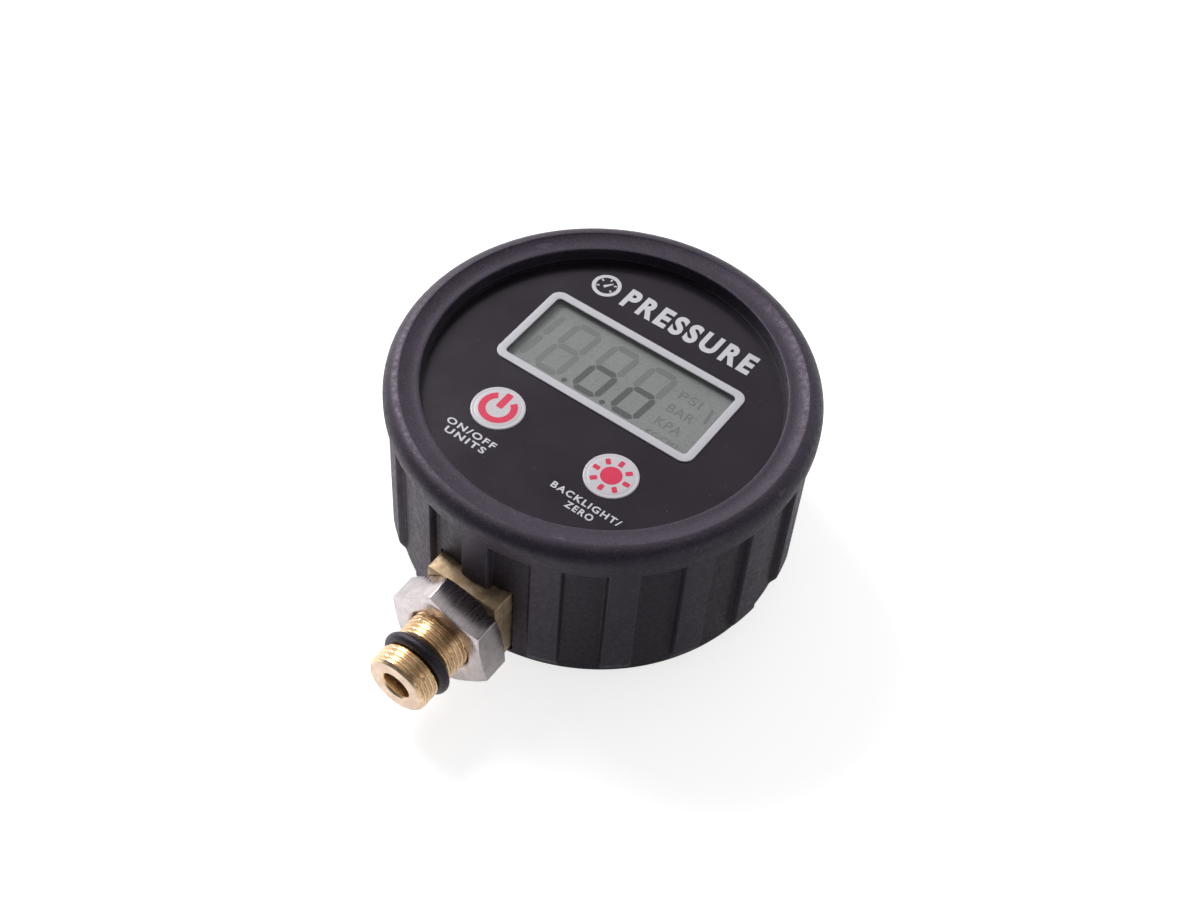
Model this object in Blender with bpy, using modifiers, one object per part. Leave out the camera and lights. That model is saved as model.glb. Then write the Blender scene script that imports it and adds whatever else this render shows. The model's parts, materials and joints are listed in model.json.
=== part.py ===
"""Digital pressure gauge head in a rubber boot.

It lies on its back: +Z points out of the display, the threaded stem points along -Y (6 o'clock), and
+X is the display's right. The origin is the centre of the flat back face.
Sizes are in millimetres, and the mesh helpers turn them into metres.
"""

import math

import bmesh
import bpy
from mathutils import Matrix, Vector

MM = 0.001
OBJECT_NAME = "digital_pressure_gauge"

# Clearances
FACE_GAP = 0.1  # between flat faces that touch
SIDE_GAP = 0.3  # between curved or sliding neighbours
BITE = 0.4  # how far a post or wall runs into what it stands on
PAST = 1.0  # how far a cutter runs past the face it cuts

# Rubber boot
RIM_RADIUS = 39.0
BEAD_RADIUS = 2.6
BEAD_HEIGHT = 35.5  # height of the bead's centre line
RIM_SKIRT_HEIGHT = 33.4  # lower edge of the plain band under the bead
PANEL_RADIUS = 37.3
RIB_RADIUS = 38.3
RIB_COUNT = 18
RIB_WIDTH = 5.5
RIB_TURN = 1.4  # degrees by which the rib nearest the stem is turned past it
RIB_FOOT = 1.4
FOOT_ROUND = 1.5
RIB_BITE = 1.0  # how far a rib runs into the wall
BOOT_BORE = 35.0
INNER_BAND = (33.9, 36.0, 1.55)  # radius, height and round of the band next to the front lip
PORT_GAP = 0.5  # between the brass block and the boot
BACK_LIP_RADIUS = 33.2
BACK_LIP_THICKNESS = 1.8
FRONT_LIP_RADIUS = 32.2
FRONT_LIP_FOOT = 34.6
LIP_EDGE_HEIGHT = 37.0
LIP_ROUND = 0.3
BOOT_STEPS = 72

# Case: a back cover and a front case that meet at a gasket
CASE_RADIUS = 34.7
CASE_WALL = 1.7
CASE_TOP = 34.4
PLATEAU_RADIUS = 32.9  # the part of the back that shows through the boot
FLOOR_THICKNESS = 2.4
FLANGE_FOOT = 2.0
COVER_WALL_TOP = 12.0
CASE_WALL_FOOT = 13.0
DECK_BOTTOM = 31.9  # plate under the face panel
DECK_TOP = 33.65
COVER_POST_RADIUS = 2.9  # posts for the case screws
COVER_POST_TOP = 13.6
CASE_BOSS_RADIUS = 2.6  # bosses that the case screws run into
CASE_BOSS_FOOT = 14.0
BOARD_BOSS_RADIUS = 2.2
CELL_WALL = 1.0
GASKET_WIDTH = 1.1
CASE_STEPS = 64

# Face
FACE_TOP = 34.3
PANEL_THICKNESS = 0.55
PANEL_DISC_RADIUS = 31.9
DISPLAY_Y = 5.1
FRAME_SIZE = (42.4, 19.8)
FRAME_BAND = 1.6
FRAME_THICKNESS = 0.25
FRAME_CORNER = 1.6
LENS_SIZE = (39.6, 17.0)
DECK_WINDOW = (42.0, 19.2)
LCD_SIZE = (41.0, 18.2)
LCD_BOTTOM = 31.0
LCD_TOP = 33.2
LENS_GAP = 0.1
FRAME_LIFT = 0.02  # between the panel and the frame laid on it

# Circuit board and what stands on it
BOARD_RADIUS = 31.4
BOARD_BOTTOM = 22.3
BOARD_TOP = 23.9
HOLDER_SIZE = (44.4, 21.0)
HOLDER_WALL = 1.2
HOLDER_TOP = 30.7
ZEBRA_LENGTH = 38.0
ZEBRA_WIDTH = 1.8
ZEBRA_OFFSET = 7.9
BACKLIGHT_SIZE = (39.0, 12.6)
BACKLIGHT_THICKNESS = 2.0
BACKLIGHT_PIN_RADIUS = 0.4
CONTROLLER_CHIP = (10.0, 10.0, 1.5, -15.0)  # width, depth, height and centre y
AMPLIFIER_CHIP = (6.0, 4.0, 1.4, -23.4)

# Buttons and their switches
BUTTON_X = 12.2
BUTTON_Y = -14.75
BUTTON_PLACES = ((-BUTTON_X, BUTTON_Y), (BUTTON_X, BUTTON_Y))
BUTTON_RADIUS = 4.9
BUTTON_TOP = 34.8
BUTTON_FLANGE_RADIUS = 6.2
BUTTON_FLANGE = (30.5, 31.6)
BUTTON_STEM_RADIUS = 2.0
BUTTON_STEM_FOOT = 28.4
SWITCH_SIDE = 6.0
SWITCH_HEIGHT = 3.5
PLUNGER_RADIUS = 1.6
PLUNGER_TOP = 28.1
PLUNGER_FOOT = 26.2
SWITCH_WELL = (1.8, 25.2)  # radius and floor of the well that the plunger sinks in

# Connector: a square brass block with a threaded stem turned on its front
STEM_HEIGHT = 10.85
BLOCK_HALF_WIDTH = 7.5
BLOCK_HALF_HEIGHT = 8.6
BLOCK_FRONT = 40.7  # distances along the stem are measured from the gauge's axis
BLOCK_BACK = 21.0
THREAD_RADIUS = 6.0
THREAD_ROOT = 5.4
THREAD_PITCH = 1.0
GROOVE_RADIUS = 4.4
RING_CENTRE = 52.9
RING_SECTION = 1.13
RING_OUTER = 6.9
GROOVE_HALF = 1.35
STEM_TIP = 58.8
TIP_CHAMFER = 0.6
BORE_RADIUS = 2.75
STEM_STEPS = 30
NUT_FLATS = 18.8
NUT_BACK = 41.3
NUT_FRONT = 46.8
NUT_TURN = 41.15  # degrees from +X to the first corner
NUT_CHAMFER = 1.1
BORE_CLEARANCE = 0.25

# Pressure sensor in the inner end of the block
SENSOR_CAVITY_RADIUS = 6.3
SENSOR_CAVITY_FRONT = 28.2
SENSOR_RADIUS = 6.0
SENSOR_LENGTH = 3.0
SENSOR_SEAL = (4.6, 0.7)  # radius of the ring's centre line and of its section
RETAINER_BORE = 2.8
CABLE_RADIUS = 0.9

# Cells
CELL_RADIUS = 5.25
CELL_LENGTH = 43.7
CELL_NUB = (1.9, 0.8)  # radius and length of the positive end
CELL_HEIGHT = 7.9
CELL_ROWS = (6.9, 17.6)
CONTACT_X = 24.6
CONTACT_THICKNESS = 0.3
CONTACT_WIDTH = 6.4
CELL_SHIFT = 0.9  # towards the contact that the positive end touches
CELL_CRIMP = 0.4
SPRING_TURNS = 2.5
SPRING_RADII = (3.0, 1.1)
SPRING_WIRE = 0.3
SPRING_DEPTH = 2.3
DOOR_LOW = (-23.0, 1.5)
DOOR_HIGH = (23.0, 23.2)
DOOR_CORNER = 3.0
DOOR_THICKNESS = 1.15
DOOR_TAB = (0.0, 24.4, 3.6)  # centre and radius of the tab that the screw holds
LEDGE = 1.0
DOOR_GAP = 0.25

# Screws
CASE_SCREWS = ((-22.6, -18.6), (22.6, -18.6), (-12.4, 26.8), (12.4, 26.8))
BOARD_SCREWS = ((-28.0, 4.0), (28.0, 4.0), (0.0, -28.2))
BLOCK_SCREWS = ((-4.4, -28.4), (4.4, -28.4))
SHANK_RADIUS = 0.95
SCREW_STEPS = 14
HEAD_ROUND = 0.25
SLOT_WIDTH = 0.5
SLOT_REACH = 0.65  # of the head's radius
DOOR_POST = (1.95, 4.9)  # radius and top of the post that takes the door's screw
# Each kind of screw: lowest point, height and radius of its head, and length of its shank
CASE_SCREW = (0.6, 1.4, 2.2, 16.5)
BOARD_SCREW = (21.1, 1.1, 1.9, 5.0)
BLOCK_SCREW = (0.2, 0.85, 1.9, 2.6)
DOOR_SCREW = (0.05, 0.6, 1.9, 3.5)
SHANK_HOLE = 1.25
THREAD_HOLE = 1.15  # in the brass block
BUTTON_STEPS = 28
SEAL_STEPS = 28

COLOURS = {
    "rubber": ((0.020, 0.018, 0.023), 0.75, 0.0),
    "case_plastic": ((0.015, 0.015, 0.017), 0.55, 0.0),
    "gloss_black": ((0.010, 0.009, 0.012), 0.18, 0.0),
    "silver": ((0.62, 0.62, 0.66), 0.35, 0.0),
    "clear": ((0.80, 0.84, 0.82), 0.05, 0.0),
    "lcd": ((0.24, 0.27, 0.26), 0.20, 0.0),
    "white_plastic": ((0.70, 0.70, 0.68), 0.50, 0.0),
    "zebra_rubber": ((0.30, 0.30, 0.31), 0.70, 0.0),
    "board_green": ((0.03, 0.12, 0.05), 0.45, 0.0),
    "chip_black": ((0.012, 0.012, 0.012), 0.50, 0.0),
    "brass": ((0.66, 0.45, 0.16), 0.30, 1.0),
    "nickel": ((0.60, 0.58, 0.57), 0.28, 1.0),
    "steel": ((0.45, 0.45, 0.46), 0.35, 1.0),
    "seal_rubber": ((0.010, 0.010, 0.012), 0.45, 0.0),
    "cell_jacket": ((0.10, 0.16, 0.30), 0.35, 0.0),
    "cable": ((0.25, 0.03, 0.03), 0.50, 0.0),
}


# ---- mesh helpers


def clear_scene():
    for obj in list(bpy.data.objects):
        bpy.data.objects.remove(obj, do_unlink=True)


def make_collection(name):
    collection = bpy.data.collections.new(name)
    bpy.context.scene.collection.children.link(collection)
    return collection


def make_material(name):
    colour, roughness, metallic = COLOURS[name]
    material = bpy.data.materials.new(name)
    material.use_nodes = True
    shader = material.node_tree.nodes["Principled BSDF"]
    shader.inputs["Base Color"].default_value = (*colour, 1.0)
    shader.inputs["Roughness"].default_value = roughness
    shader.inputs["Metallic"].default_value = metallic
    return material


def add(name, mesh, colour=None):
    """An object of this mesh: a part in this colour or, with no colour, a cutter."""
    obj = bpy.data.objects.new(name, mesh)
    if colour is None:
        cutters.objects.link(obj)
        obj.hide_render = True
        obj.display_type = "WIRE"
    else:
        parts.objects.link(obj)
        mesh.materials.append(materials[colour])
    return obj


def to_mesh(name, shape, smooth=False):
    """A mesh in metres of a bmesh in millimetres."""
    bmesh.ops.scale(shape, vec=(MM, MM, MM), verts=shape.verts)
    mesh = bpy.data.meshes.new(name)
    shape.to_mesh(mesh)
    shape.free()
    if smooth:
        mesh.shade_smooth()
        mesh.set_sharp_from_angle(angle=math.radians(35))
    return mesh


def add_box(shape, low, high, upright_round=0.0, segments=3):
    """Adds a box between two corners, with its upright edges rounded."""
    size = [b - a for a, b in zip(low, high)]
    centre = [(a + b) / 2 for a, b in zip(low, high)]
    made = bmesh.ops.create_cube(shape, size=1.0)["verts"]
    bmesh.ops.scale(shape, vec=size, verts=made)
    bmesh.ops.translate(shape, vec=centre, verts=made)
    if upright_round:
        edges = {edge for vert in made for edge in vert.link_edges}
        upright = [edge for edge in edges if abs(edge.verts[0].co.z - edge.verts[1].co.z) > size[2] / 2]
        bmesh.ops.bevel(
            shape, geom=upright, offset=upright_round, segments=segments, profile=0.5, affect="EDGES"
        )


def add_cylinder(shape, radius, low, high, at=(0.0, 0.0), steps=SCREW_STEPS):
    """Adds an upright cylinder between two heights."""
    made = bmesh.ops.create_cone(
        shape, cap_ends=True, segments=steps, radius1=radius, radius2=radius, depth=high - low
    )["verts"]
    bmesh.ops.translate(shape, vec=(at[0], at[1], (low + high) / 2), verts=made)


def box(name, low, high, colour=None, upright_round=0.0):
    shape = bmesh.new()
    add_box(shape, low, high, upright_round)
    return add(name, to_mesh(name, shape), colour)


def plate(name, size, centre_y, low, high, colour=None, corner=0.0):
    """A rounded rectangle centred on x = 0, between two heights."""
    half_x, half_y = size[0] / 2, size[1] / 2
    return box(
        name, (-half_x, centre_y - half_y, low), (half_x, centre_y + half_y, high), colour, corner
    )


def cylinder(name, radius, low, high, at=(0.0, 0.0), colour=None, steps=SCREW_STEPS):
    shape = bmesh.new()
    add_cylinder(shape, radius, low, high, at, steps)
    return add(name, to_mesh(name, shape, smooth=True), colour)


def cylinders(name, radius, low, high, places, steps=SCREW_STEPS):
    """One cutter of several separate cylinders."""
    shape = bmesh.new()
    for place in places:
        add_cylinder(shape, radius, low, high, place, steps)
    return add(name, to_mesh(name, shape, smooth=True))


def turned(name, profile, colour=None, steps=CASE_STEPS, ring=False):
    """A profile of (radius, height) turned about Z. It runs down the outer side."""
    mesh = bpy.data.meshes.new(name)
    count = len(profile)
    edges = [(index, index + 1) for index in range(count - 1)]
    if ring:
        edges.append((count - 1, 0))
    mesh.from_pydata([(r * MM, 0.0, z * MM) for r, z in profile], edges, [])
    obj = add(name, mesh, colour)
    screw = obj.modifiers.new("Turn", "SCREW")
    screw.axis = "Z"
    screw.angle = math.tau
    screw.steps = steps
    screw.render_steps = steps
    screw.use_merge_vertices = True
    screw.merge_threshold = 0.00001
    screw.use_smooth_shade = True
    return obj


def arc(centre, radius, start, end, count):
    """Points of a profile round a centre, between two angles in degrees."""
    angles = [math.radians(start + (end - start) * i / count) for i in range(count + 1)]
    return [(centre[0] + radius * math.cos(a), centre[1] + radius * math.sin(a)) for a in angles]


def combine(obj, other, operation="DIFFERENCE"):
    change = obj.modifiers.new(other.name, "BOOLEAN")
    change.operation = operation
    change.object = other
    change.solver = "EXACT"


def lay_along_stem(obj):
    """Turns a piece made about Z so that its +Z points along -Y, on the stem's axis."""
    obj.rotation_euler = (math.radians(90), 0.0, 0.0)
    obj.location = (0.0, 0.0, STEM_HEIGHT * MM)


# ---- rubber boot


def boot_profile():
    """Front lip, shallow valley, outer bead, plain band, wall, round foot and the hollow inside."""
    bead = (RIM_RADIUS - BEAD_RADIUS, BEAD_HEIGHT)
    return [
        (FRONT_LIP_RADIUS, LIP_EDGE_HEIGHT),
        (FRONT_LIP_RADIUS + LIP_ROUND, LIP_EDGE_HEIGHT + LIP_ROUND),
        *arc(INNER_BAND[:2], INNER_BAND[2], 105, 50, 3),
        *arc(bead, BEAD_RADIUS, 115, 0, 7),
        (RIM_RADIUS, RIM_SKIRT_HEIGHT + LIP_ROUND),
        (RIM_RADIUS - LIP_ROUND, RIM_SKIRT_HEIGHT),
        (PANEL_RADIUS, RIM_SKIRT_HEIGHT),
        *arc((PANEL_RADIUS - FOOT_ROUND, FOOT_ROUND), FOOT_ROUND, 0, -90, 3),
        (BACK_LIP_RADIUS, 0.0),
        (BACK_LIP_RADIUS, BACK_LIP_THICKNESS),
        (BOOT_BORE, BACK_LIP_THICKNESS),
        (BOOT_BORE, FRONT_LIP_FOOT),
        (FRONT_LIP_RADIUS, FRONT_LIP_FOOT),
    ]


def make_ribs():
    """Upright ribs round the boot, each with a sloping lower end."""
    shape = bmesh.new()
    low = (PANEL_RADIUS - RIB_BITE, -RIB_WIDTH / 2, RIB_FOOT)
    high = (RIB_RADIUS, RIB_WIDTH / 2, RIM_SKIRT_HEIGHT + BITE)
    for index in range(RIB_COUNT):
        rib = bmesh.new()
        add_box(rib, low, high)
        for vert in rib.verts:
            if vert.co.x > PANEL_RADIUS and vert.co.z < BEAD_HEIGHT / 2:
                vert.co.z += RIB_RADIUS - PANEL_RADIUS
        angle = -math.pi / 2 + math.radians(RIB_TURN) + index * math.tau / RIB_COUNT
        bmesh.ops.transform(rib, matrix=Matrix.Rotation(angle, 4, "Z"), verts=rib.verts)
        piece = bpy.data.meshes.new("rib")
        rib.to_mesh(piece)
        rib.free()
        shape.from_mesh(piece)
        bpy.data.meshes.remove(piece)
    return add("rib_set", to_mesh("rib_set", shape))


def make_boot():
    boot = turned("rubber_boot", boot_profile(), "rubber", BOOT_STEPS, ring=True)
    combine(boot, make_ribs(), "UNION")
    opening = box(
        "boot_port_cutter",
        (-BLOCK_HALF_WIDTH - PORT_GAP, -RIM_RADIUS - PAST, STEM_HEIGHT - BLOCK_HALF_HEIGHT - SIDE_GAP),
        (BLOCK_HALF_WIDTH + PORT_GAP, -BOOT_BORE / 2, STEM_HEIGHT + BLOCK_HALF_HEIGHT + BITE),
    )
    combine(boot, opening)


# ---- case


def port_cutter(name, low, high):
    """The notch that the brass block passes through, between two heights."""
    side = BLOCK_HALF_WIDTH + SIDE_GAP
    return box(name, (-side, -CASE_RADIUS - PAST, low), (side, -BLOCK_BACK, high))


def door_outline_cutter(name, grow, low, high, tab=True):
    """The battery door's outline, grown all round."""
    shape = bmesh.new()
    add_box(
        shape,
        (DOOR_LOW[0] - grow, DOOR_LOW[1] - grow, low),
        (DOOR_HIGH[0] + grow, DOOR_HIGH[1] + grow, high),
        DOOR_CORNER,
    )
    body = add(name, to_mesh(name, shape))
    if tab:
        round_tab = cylinder(name + "_tab", DOOR_TAB[2] + grow, low, high, DOOR_TAB[:2], steps=28)
        combine(body, round_tab, "UNION")
    return body


def make_back_cover():
    inner = CASE_RADIUS - CASE_WALL
    profile = [
        (0.0, FLOOR_THICKNESS),
        (inner, FLOOR_THICKNESS),
        (inner, COVER_WALL_TOP),
        (CASE_RADIUS, COVER_WALL_TOP),
        (CASE_RADIUS, FLANGE_FOOT),
        (PLATEAU_RADIUS, FLANGE_FOOT),
        (PLATEAU_RADIUS, LIP_ROUND),
        (PLATEAU_RADIUS - LIP_ROUND, 0.0),
        (0.0, 0.0),
    ]
    cover = turned("back_cover", profile, "case_plastic")
    shape = bmesh.new()
    for place in CASE_SCREWS:
        add_cylinder(shape, COVER_POST_RADIUS, FLOOR_THICKNESS - BITE, COVER_POST_TOP, place)
    add_cylinder(shape, DOOR_POST[0], FLOOR_THICKNESS - BITE, DOOR_POST[1], DOOR_TAB[:2])
    combine(cover, add("cover_posts", to_mesh("cover_posts", shape, smooth=True)), "UNION")

    near = CONTACT_X + 2 * CONTACT_THICKNESS
    far = near + CELL_WALL
    front = DOOR_LOW[1] - BITE
    back = DOOR_HIGH[1] - 4 * BITE
    walls = (
        ((-far, front - CELL_WALL), (far, front)),
        ((-far, front - CELL_WALL / 2), (-near, back)),
        ((near, front - CELL_WALL / 2), (far, back)),
    )
    for index, (low, high) in enumerate(walls):
        wall = box(f"cell_wall_{index}", (*low, FLOOR_THICKNESS - BITE / 2), (*high, COVER_WALL_TOP - BITE))
        combine(cover, wall, "UNION")

    combine(cover, door_outline_cutter("door_recess", DOOR_GAP, -PAST, DOOR_THICKNESS + FACE_GAP))
    combine(cover, door_outline_cutter("cell_opening", -LEDGE, -PAST, FLOOR_THICKNESS + BITE, tab=False))
    combine(cover, port_cutter("cover_port", FLANGE_FOOT + FACE_GAP, COVER_WALL_TOP + PAST))
    for name, kind, places, top in (
        ("case", CASE_SCREW, CASE_SCREWS, COVER_POST_TOP),
        ("block", BLOCK_SCREW, BLOCK_SCREWS, FLOOR_THICKNESS),
        ("door", None, [DOOR_TAB[:2]], DOOR_POST[1]),
    ):
        head_top = 0.0
        if kind:
            head_top = kind[0] + kind[1] + FACE_GAP
            combine(cover, cylinders(name + "_head_holes", kind[2] + SIDE_GAP, -PAST, head_top, places))
        combine(cover, cylinders(name + "_shank_holes", SHANK_HOLE, head_top, top + PAST, places))


def make_front_case():
    inner = CASE_RADIUS - CASE_WALL
    ledge = PANEL_DISC_RADIUS + SIDE_GAP
    profile = [
        (0.0, DECK_TOP),
        (ledge, DECK_TOP),
        (ledge, CASE_TOP),
        (CASE_RADIUS, CASE_TOP),
        (CASE_RADIUS, CASE_WALL_FOOT),
        (inner, CASE_WALL_FOOT),
        (inner, DECK_BOTTOM),
        (0.0, DECK_BOTTOM),
    ]
    case = turned("front_case", profile, "case_plastic")
    shape = bmesh.new()
    for place in CASE_SCREWS:
        add_cylinder(shape, CASE_BOSS_RADIUS, CASE_BOSS_FOOT, DECK_BOTTOM + BITE, place)
    for place in BOARD_SCREWS:
        add_cylinder(shape, BOARD_BOSS_RADIUS, BOARD_TOP + FACE_GAP, DECK_BOTTOM + BITE, place)
    combine(case, add("case_bosses", to_mesh("case_bosses", shape, smooth=True)), "UNION")
    for name, kind, places, foot in (
        ("boss", CASE_SCREW, CASE_SCREWS, CASE_BOSS_FOOT),
        ("board_boss", BOARD_SCREW, BOARD_SCREWS, BOARD_TOP),
    ):
        tip = sum(kind[:2]) + kind[3]
        combine(case, cylinders(name + "_holes", SHANK_HOLE, foot - PAST, tip + PAST, places))
    low, high = DECK_BOTTOM - PAST, DECK_TOP + PAST
    combine(case, plate("deck_window", DECK_WINDOW, DISPLAY_Y, low, high, corner=0.8))
    radius = BUTTON_RADIUS + SIDE_GAP
    combine(case, cylinders("deck_button_holes", radius, low, high, BUTTON_PLACES, BUTTON_STEPS))
    port_top = STEM_HEIGHT + BLOCK_HALF_HEIGHT + SIDE_GAP
    combine(case, port_cutter("case_port", CASE_WALL_FOOT - PAST, port_top))


def make_gasket():
    outer = CASE_RADIUS - SIDE_GAP
    inner = outer - GASKET_WIDTH
    low = COVER_WALL_TOP + FACE_GAP
    high = CASE_WALL_FOOT - FACE_GAP
    profile = [(outer, high), (outer, low), (inner, low), (inner, high)]
    gasket = turned("case_gasket", profile, "seal_rubber", ring=True)
    combine(gasket, port_cutter("gasket_port", low - PAST, high + PAST))


# ---- face


def make_face():
    low = FACE_TOP - PANEL_THICKNESS
    profile = [(0.0, FACE_TOP), (PANEL_DISC_RADIUS, FACE_TOP), (PANEL_DISC_RADIUS, low), (0.0, low)]
    panel = turned("face_panel", profile, "gloss_black")
    lens_hole = [side + 2 * LENS_GAP for side in LENS_SIZE]
    cut_low, cut_high = low - PAST, FACE_TOP + PAST
    combine(panel, plate("lens_hole", lens_hole, DISPLAY_Y, cut_low, cut_high, corner=1.0))
    radius = BUTTON_RADIUS + 2 * FACE_GAP
    combine(panel, cylinders("panel_button_holes", radius, cut_low, cut_high, BUTTON_PLACES, BUTTON_STEPS))
    plate("display_window", LENS_SIZE, DISPLAY_Y, low, FACE_TOP, "clear", corner=0.9)

    base = FACE_TOP + FRAME_LIFT
    frame = plate(
        "window_frame", FRAME_SIZE, DISPLAY_Y, base, base + FRAME_THICKNESS, "silver", FRAME_CORNER
    )
    inner = [side - 2 * FRAME_BAND for side in FRAME_SIZE]
    combine(frame, plate("frame_hole", inner, DISPLAY_Y, base - PAST, base + PAST, corner=0.7))


def make_display_stack():
    plate("lcd_glass", LCD_SIZE, DISPLAY_Y, LCD_BOTTOM, LCD_TOP, "lcd", corner=0.3)
    foot = BOARD_TOP + FACE_GAP
    holder = plate("lcd_holder", HOLDER_SIZE, DISPLAY_Y, foot, HOLDER_TOP, "white_plastic", corner=1.0)
    inner = [side - 2 * HOLDER_WALL for side in HOLDER_SIZE]
    combine(holder, plate("holder_hole", inner, DISPLAY_Y, foot - PAST, HOLDER_TOP + PAST))
    for name, side in (("zebra_strip_upper", 1), ("zebra_strip_lower", -1)):
        centre = DISPLAY_Y + side * ZEBRA_OFFSET
        plate(name, (ZEBRA_LENGTH, ZEBRA_WIDTH), centre, foot, LCD_BOTTOM - FACE_GAP, "zebra_rubber")
    top = LCD_BOTTOM - 2 * FACE_GAP
    bottom = top - BACKLIGHT_THICKNESS
    backlight = plate("backlight_panel", BACKLIGHT_SIZE, DISPLAY_Y, bottom, top, "white_plastic", corner=0.4)
    pins = [(side * (BACKLIGHT_SIZE[0] / 2 - 1.0), DISPLAY_Y) for side in (-1, 1)]
    pin_set = cylinders("backlight_pins", BACKLIGHT_PIN_RADIUS, foot, bottom + BITE, pins, 8)
    combine(backlight, pin_set, "UNION")


def make_circuit_board():
    board = cylinder(
        "circuit_board", BOARD_RADIUS, BOARD_BOTTOM, BOARD_TOP, colour="board_green", steps=CASE_STEPS
    )
    low, high = BOARD_BOTTOM - PAST, BOARD_TOP + PAST
    combine(board, cylinders("board_notches", CASE_BOSS_RADIUS + SIDE_GAP, low, high, CASE_SCREWS))
    combine(board, cylinders("board_holes", SHANK_HOLE, low, high, BOARD_SCREWS))
    foot = BOARD_TOP + FACE_GAP
    for name, chip in (("controller_chip", CONTROLLER_CHIP), ("amplifier_chip", AMPLIFIER_CHIP)):
        plate(name, chip[:2], chip[3], foot, foot + chip[2], "chip_black")


def make_button(name, side):
    """Cap, flange under the deck and stem, then the switch body and its plunger under it."""
    profile = [
        (0.0, BUTTON_TOP),
        (BUTTON_RADIUS - 0.5, BUTTON_TOP - 0.05),
        (BUTTON_RADIUS, BUTTON_TOP - 0.35),
        (BUTTON_RADIUS, BUTTON_FLANGE[1]),
        (BUTTON_FLANGE_RADIUS, BUTTON_FLANGE[1]),
        (BUTTON_FLANGE_RADIUS, BUTTON_FLANGE[0]),
        (BUTTON_STEM_RADIUS, BUTTON_FLANGE[0]),
        (BUTTON_STEM_RADIUS, BUTTON_STEM_FOOT),
        (0.0, BUTTON_STEM_FOOT),
    ]
    place = Vector((side * BUTTON_X, BUTTON_Y, 0.0)) * MM
    button = turned(name + "_button", profile, "silver", BUTTON_STEPS)
    button.location = place
    foot = BOARD_TOP + FACE_GAP
    half = SWITCH_SIDE / 2
    x = side * BUTTON_X
    body = box(
        name + "_switch_body",
        (x - half, BUTTON_Y - half, foot),
        (x + half, BUTTON_Y + half, foot + SWITCH_HEIGHT),
        "chip_black",
    )
    well_radius, well_floor = SWITCH_WELL
    well = cylinder(name + "_switch_well", well_radius, well_floor, PLUNGER_TOP + PAST, (x, BUTTON_Y))
    combine(body, well)
    plunger = cylinder(
        name + "_switch_plunger", PLUNGER_RADIUS, PLUNGER_FOOT, PLUNGER_TOP, colour="white_plastic"
    )
    plunger.location = place


# ---- connector


def threaded(start, end):
    """Crests and roots from one distance along the stem down to another, as turned ridges."""
    count = round((start - end) / THREAD_PITCH)
    points = []
    for index in range(count):
        crest = start - (index + 0.25) * THREAD_PITCH
        points.append((THREAD_RADIUS, crest))
        points.append((THREAD_ROOT, crest - THREAD_PITCH / 2))
    return points


def make_connector():
    groove_front = RING_CENTRE + GROOVE_HALF
    groove_back = RING_CENTRE - GROOVE_HALF
    profile = [
        (0.0, STEM_TIP),
        (THREAD_ROOT, STEM_TIP),
        *threaded(STEM_TIP - 0.2, groove_front + 0.2),
        (THREAD_ROOT, groove_front),
        (GROOVE_RADIUS, groove_front),
        (GROOVE_RADIUS, groove_back),
        (THREAD_ROOT, groove_back),
        *threaded(groove_back - 0.2, BLOCK_FRONT + 0.3),
        (THREAD_ROOT, BLOCK_FRONT - 2.0),
        (0.0, BLOCK_FRONT - 2.0),
    ]
    stem = turned("stem_turning", profile, None, STEM_STEPS)
    lay_along_stem(stem)
    block = box(
        "connector_block",
        (-BLOCK_HALF_WIDTH, -BLOCK_FRONT, STEM_HEIGHT - BLOCK_HALF_HEIGHT),
        (BLOCK_HALF_WIDTH, -BLOCK_BACK, STEM_HEIGHT + BLOCK_HALF_HEIGHT),
        "brass",
    )
    bevel = block.modifiers.new("Edges", "BEVEL")
    bevel.width = 0.4 * MM
    bevel.segments = 2
    combine(block, stem, "UNION")
    bore = turned(
        "stem_bore",
        [
            (0.0, STEM_TIP + PAST),
            (BORE_RADIUS + TIP_CHAMFER + PAST, STEM_TIP + PAST),
            (BORE_RADIUS, STEM_TIP - TIP_CHAMFER),
            (BORE_RADIUS, SENSOR_CAVITY_FRONT),
            (SENSOR_CAVITY_RADIUS, SENSOR_CAVITY_FRONT),
            (SENSOR_CAVITY_RADIUS, BLOCK_BACK - PAST),
            (0.0, BLOCK_BACK - PAST),
        ],
        None,
        STEM_STEPS,
    )
    lay_along_stem(bore)
    combine(block, bore)
    bottom = STEM_HEIGHT - BLOCK_HALF_HEIGHT
    low, high = bottom - PAST, bottom + 2 * PAST
    combine(block, cylinders("block_screw_holes", THREAD_HOLE, low, high, BLOCK_SCREWS))


def make_sensor():
    """Sealing ring, sensor can, and the ring that holds it, from the bore inwards."""
    seal_radius, section = SENSOR_SEAL
    seal_at = SENSOR_CAVITY_FRONT - FACE_GAP - section
    profile = arc((seal_radius, seal_at), section, 90, -225, 7)
    seal = turned("sensor_seal", profile, "seal_rubber", SEAL_STEPS, ring=True)
    front = seal_at - section - FACE_GAP
    back = front - SENSOR_LENGTH
    profile = [(0.0, front), (SENSOR_RADIUS, front), (SENSOR_RADIUS, back), (0.0, back)]
    can = turned("pressure_sensor", profile, "steel", SEAL_STEPS)
    front = back - FACE_GAP
    back = BLOCK_BACK + SIDE_GAP
    outer, inner = SENSOR_RADIUS, RETAINER_BORE
    profile = [(outer, front), (outer, back), (inner, back), (inner, front)]
    ring = turned("sensor_retainer", profile, "brass", SEAL_STEPS, ring=True)
    for piece in (seal, can, ring):
        lay_along_stem(piece)


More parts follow.
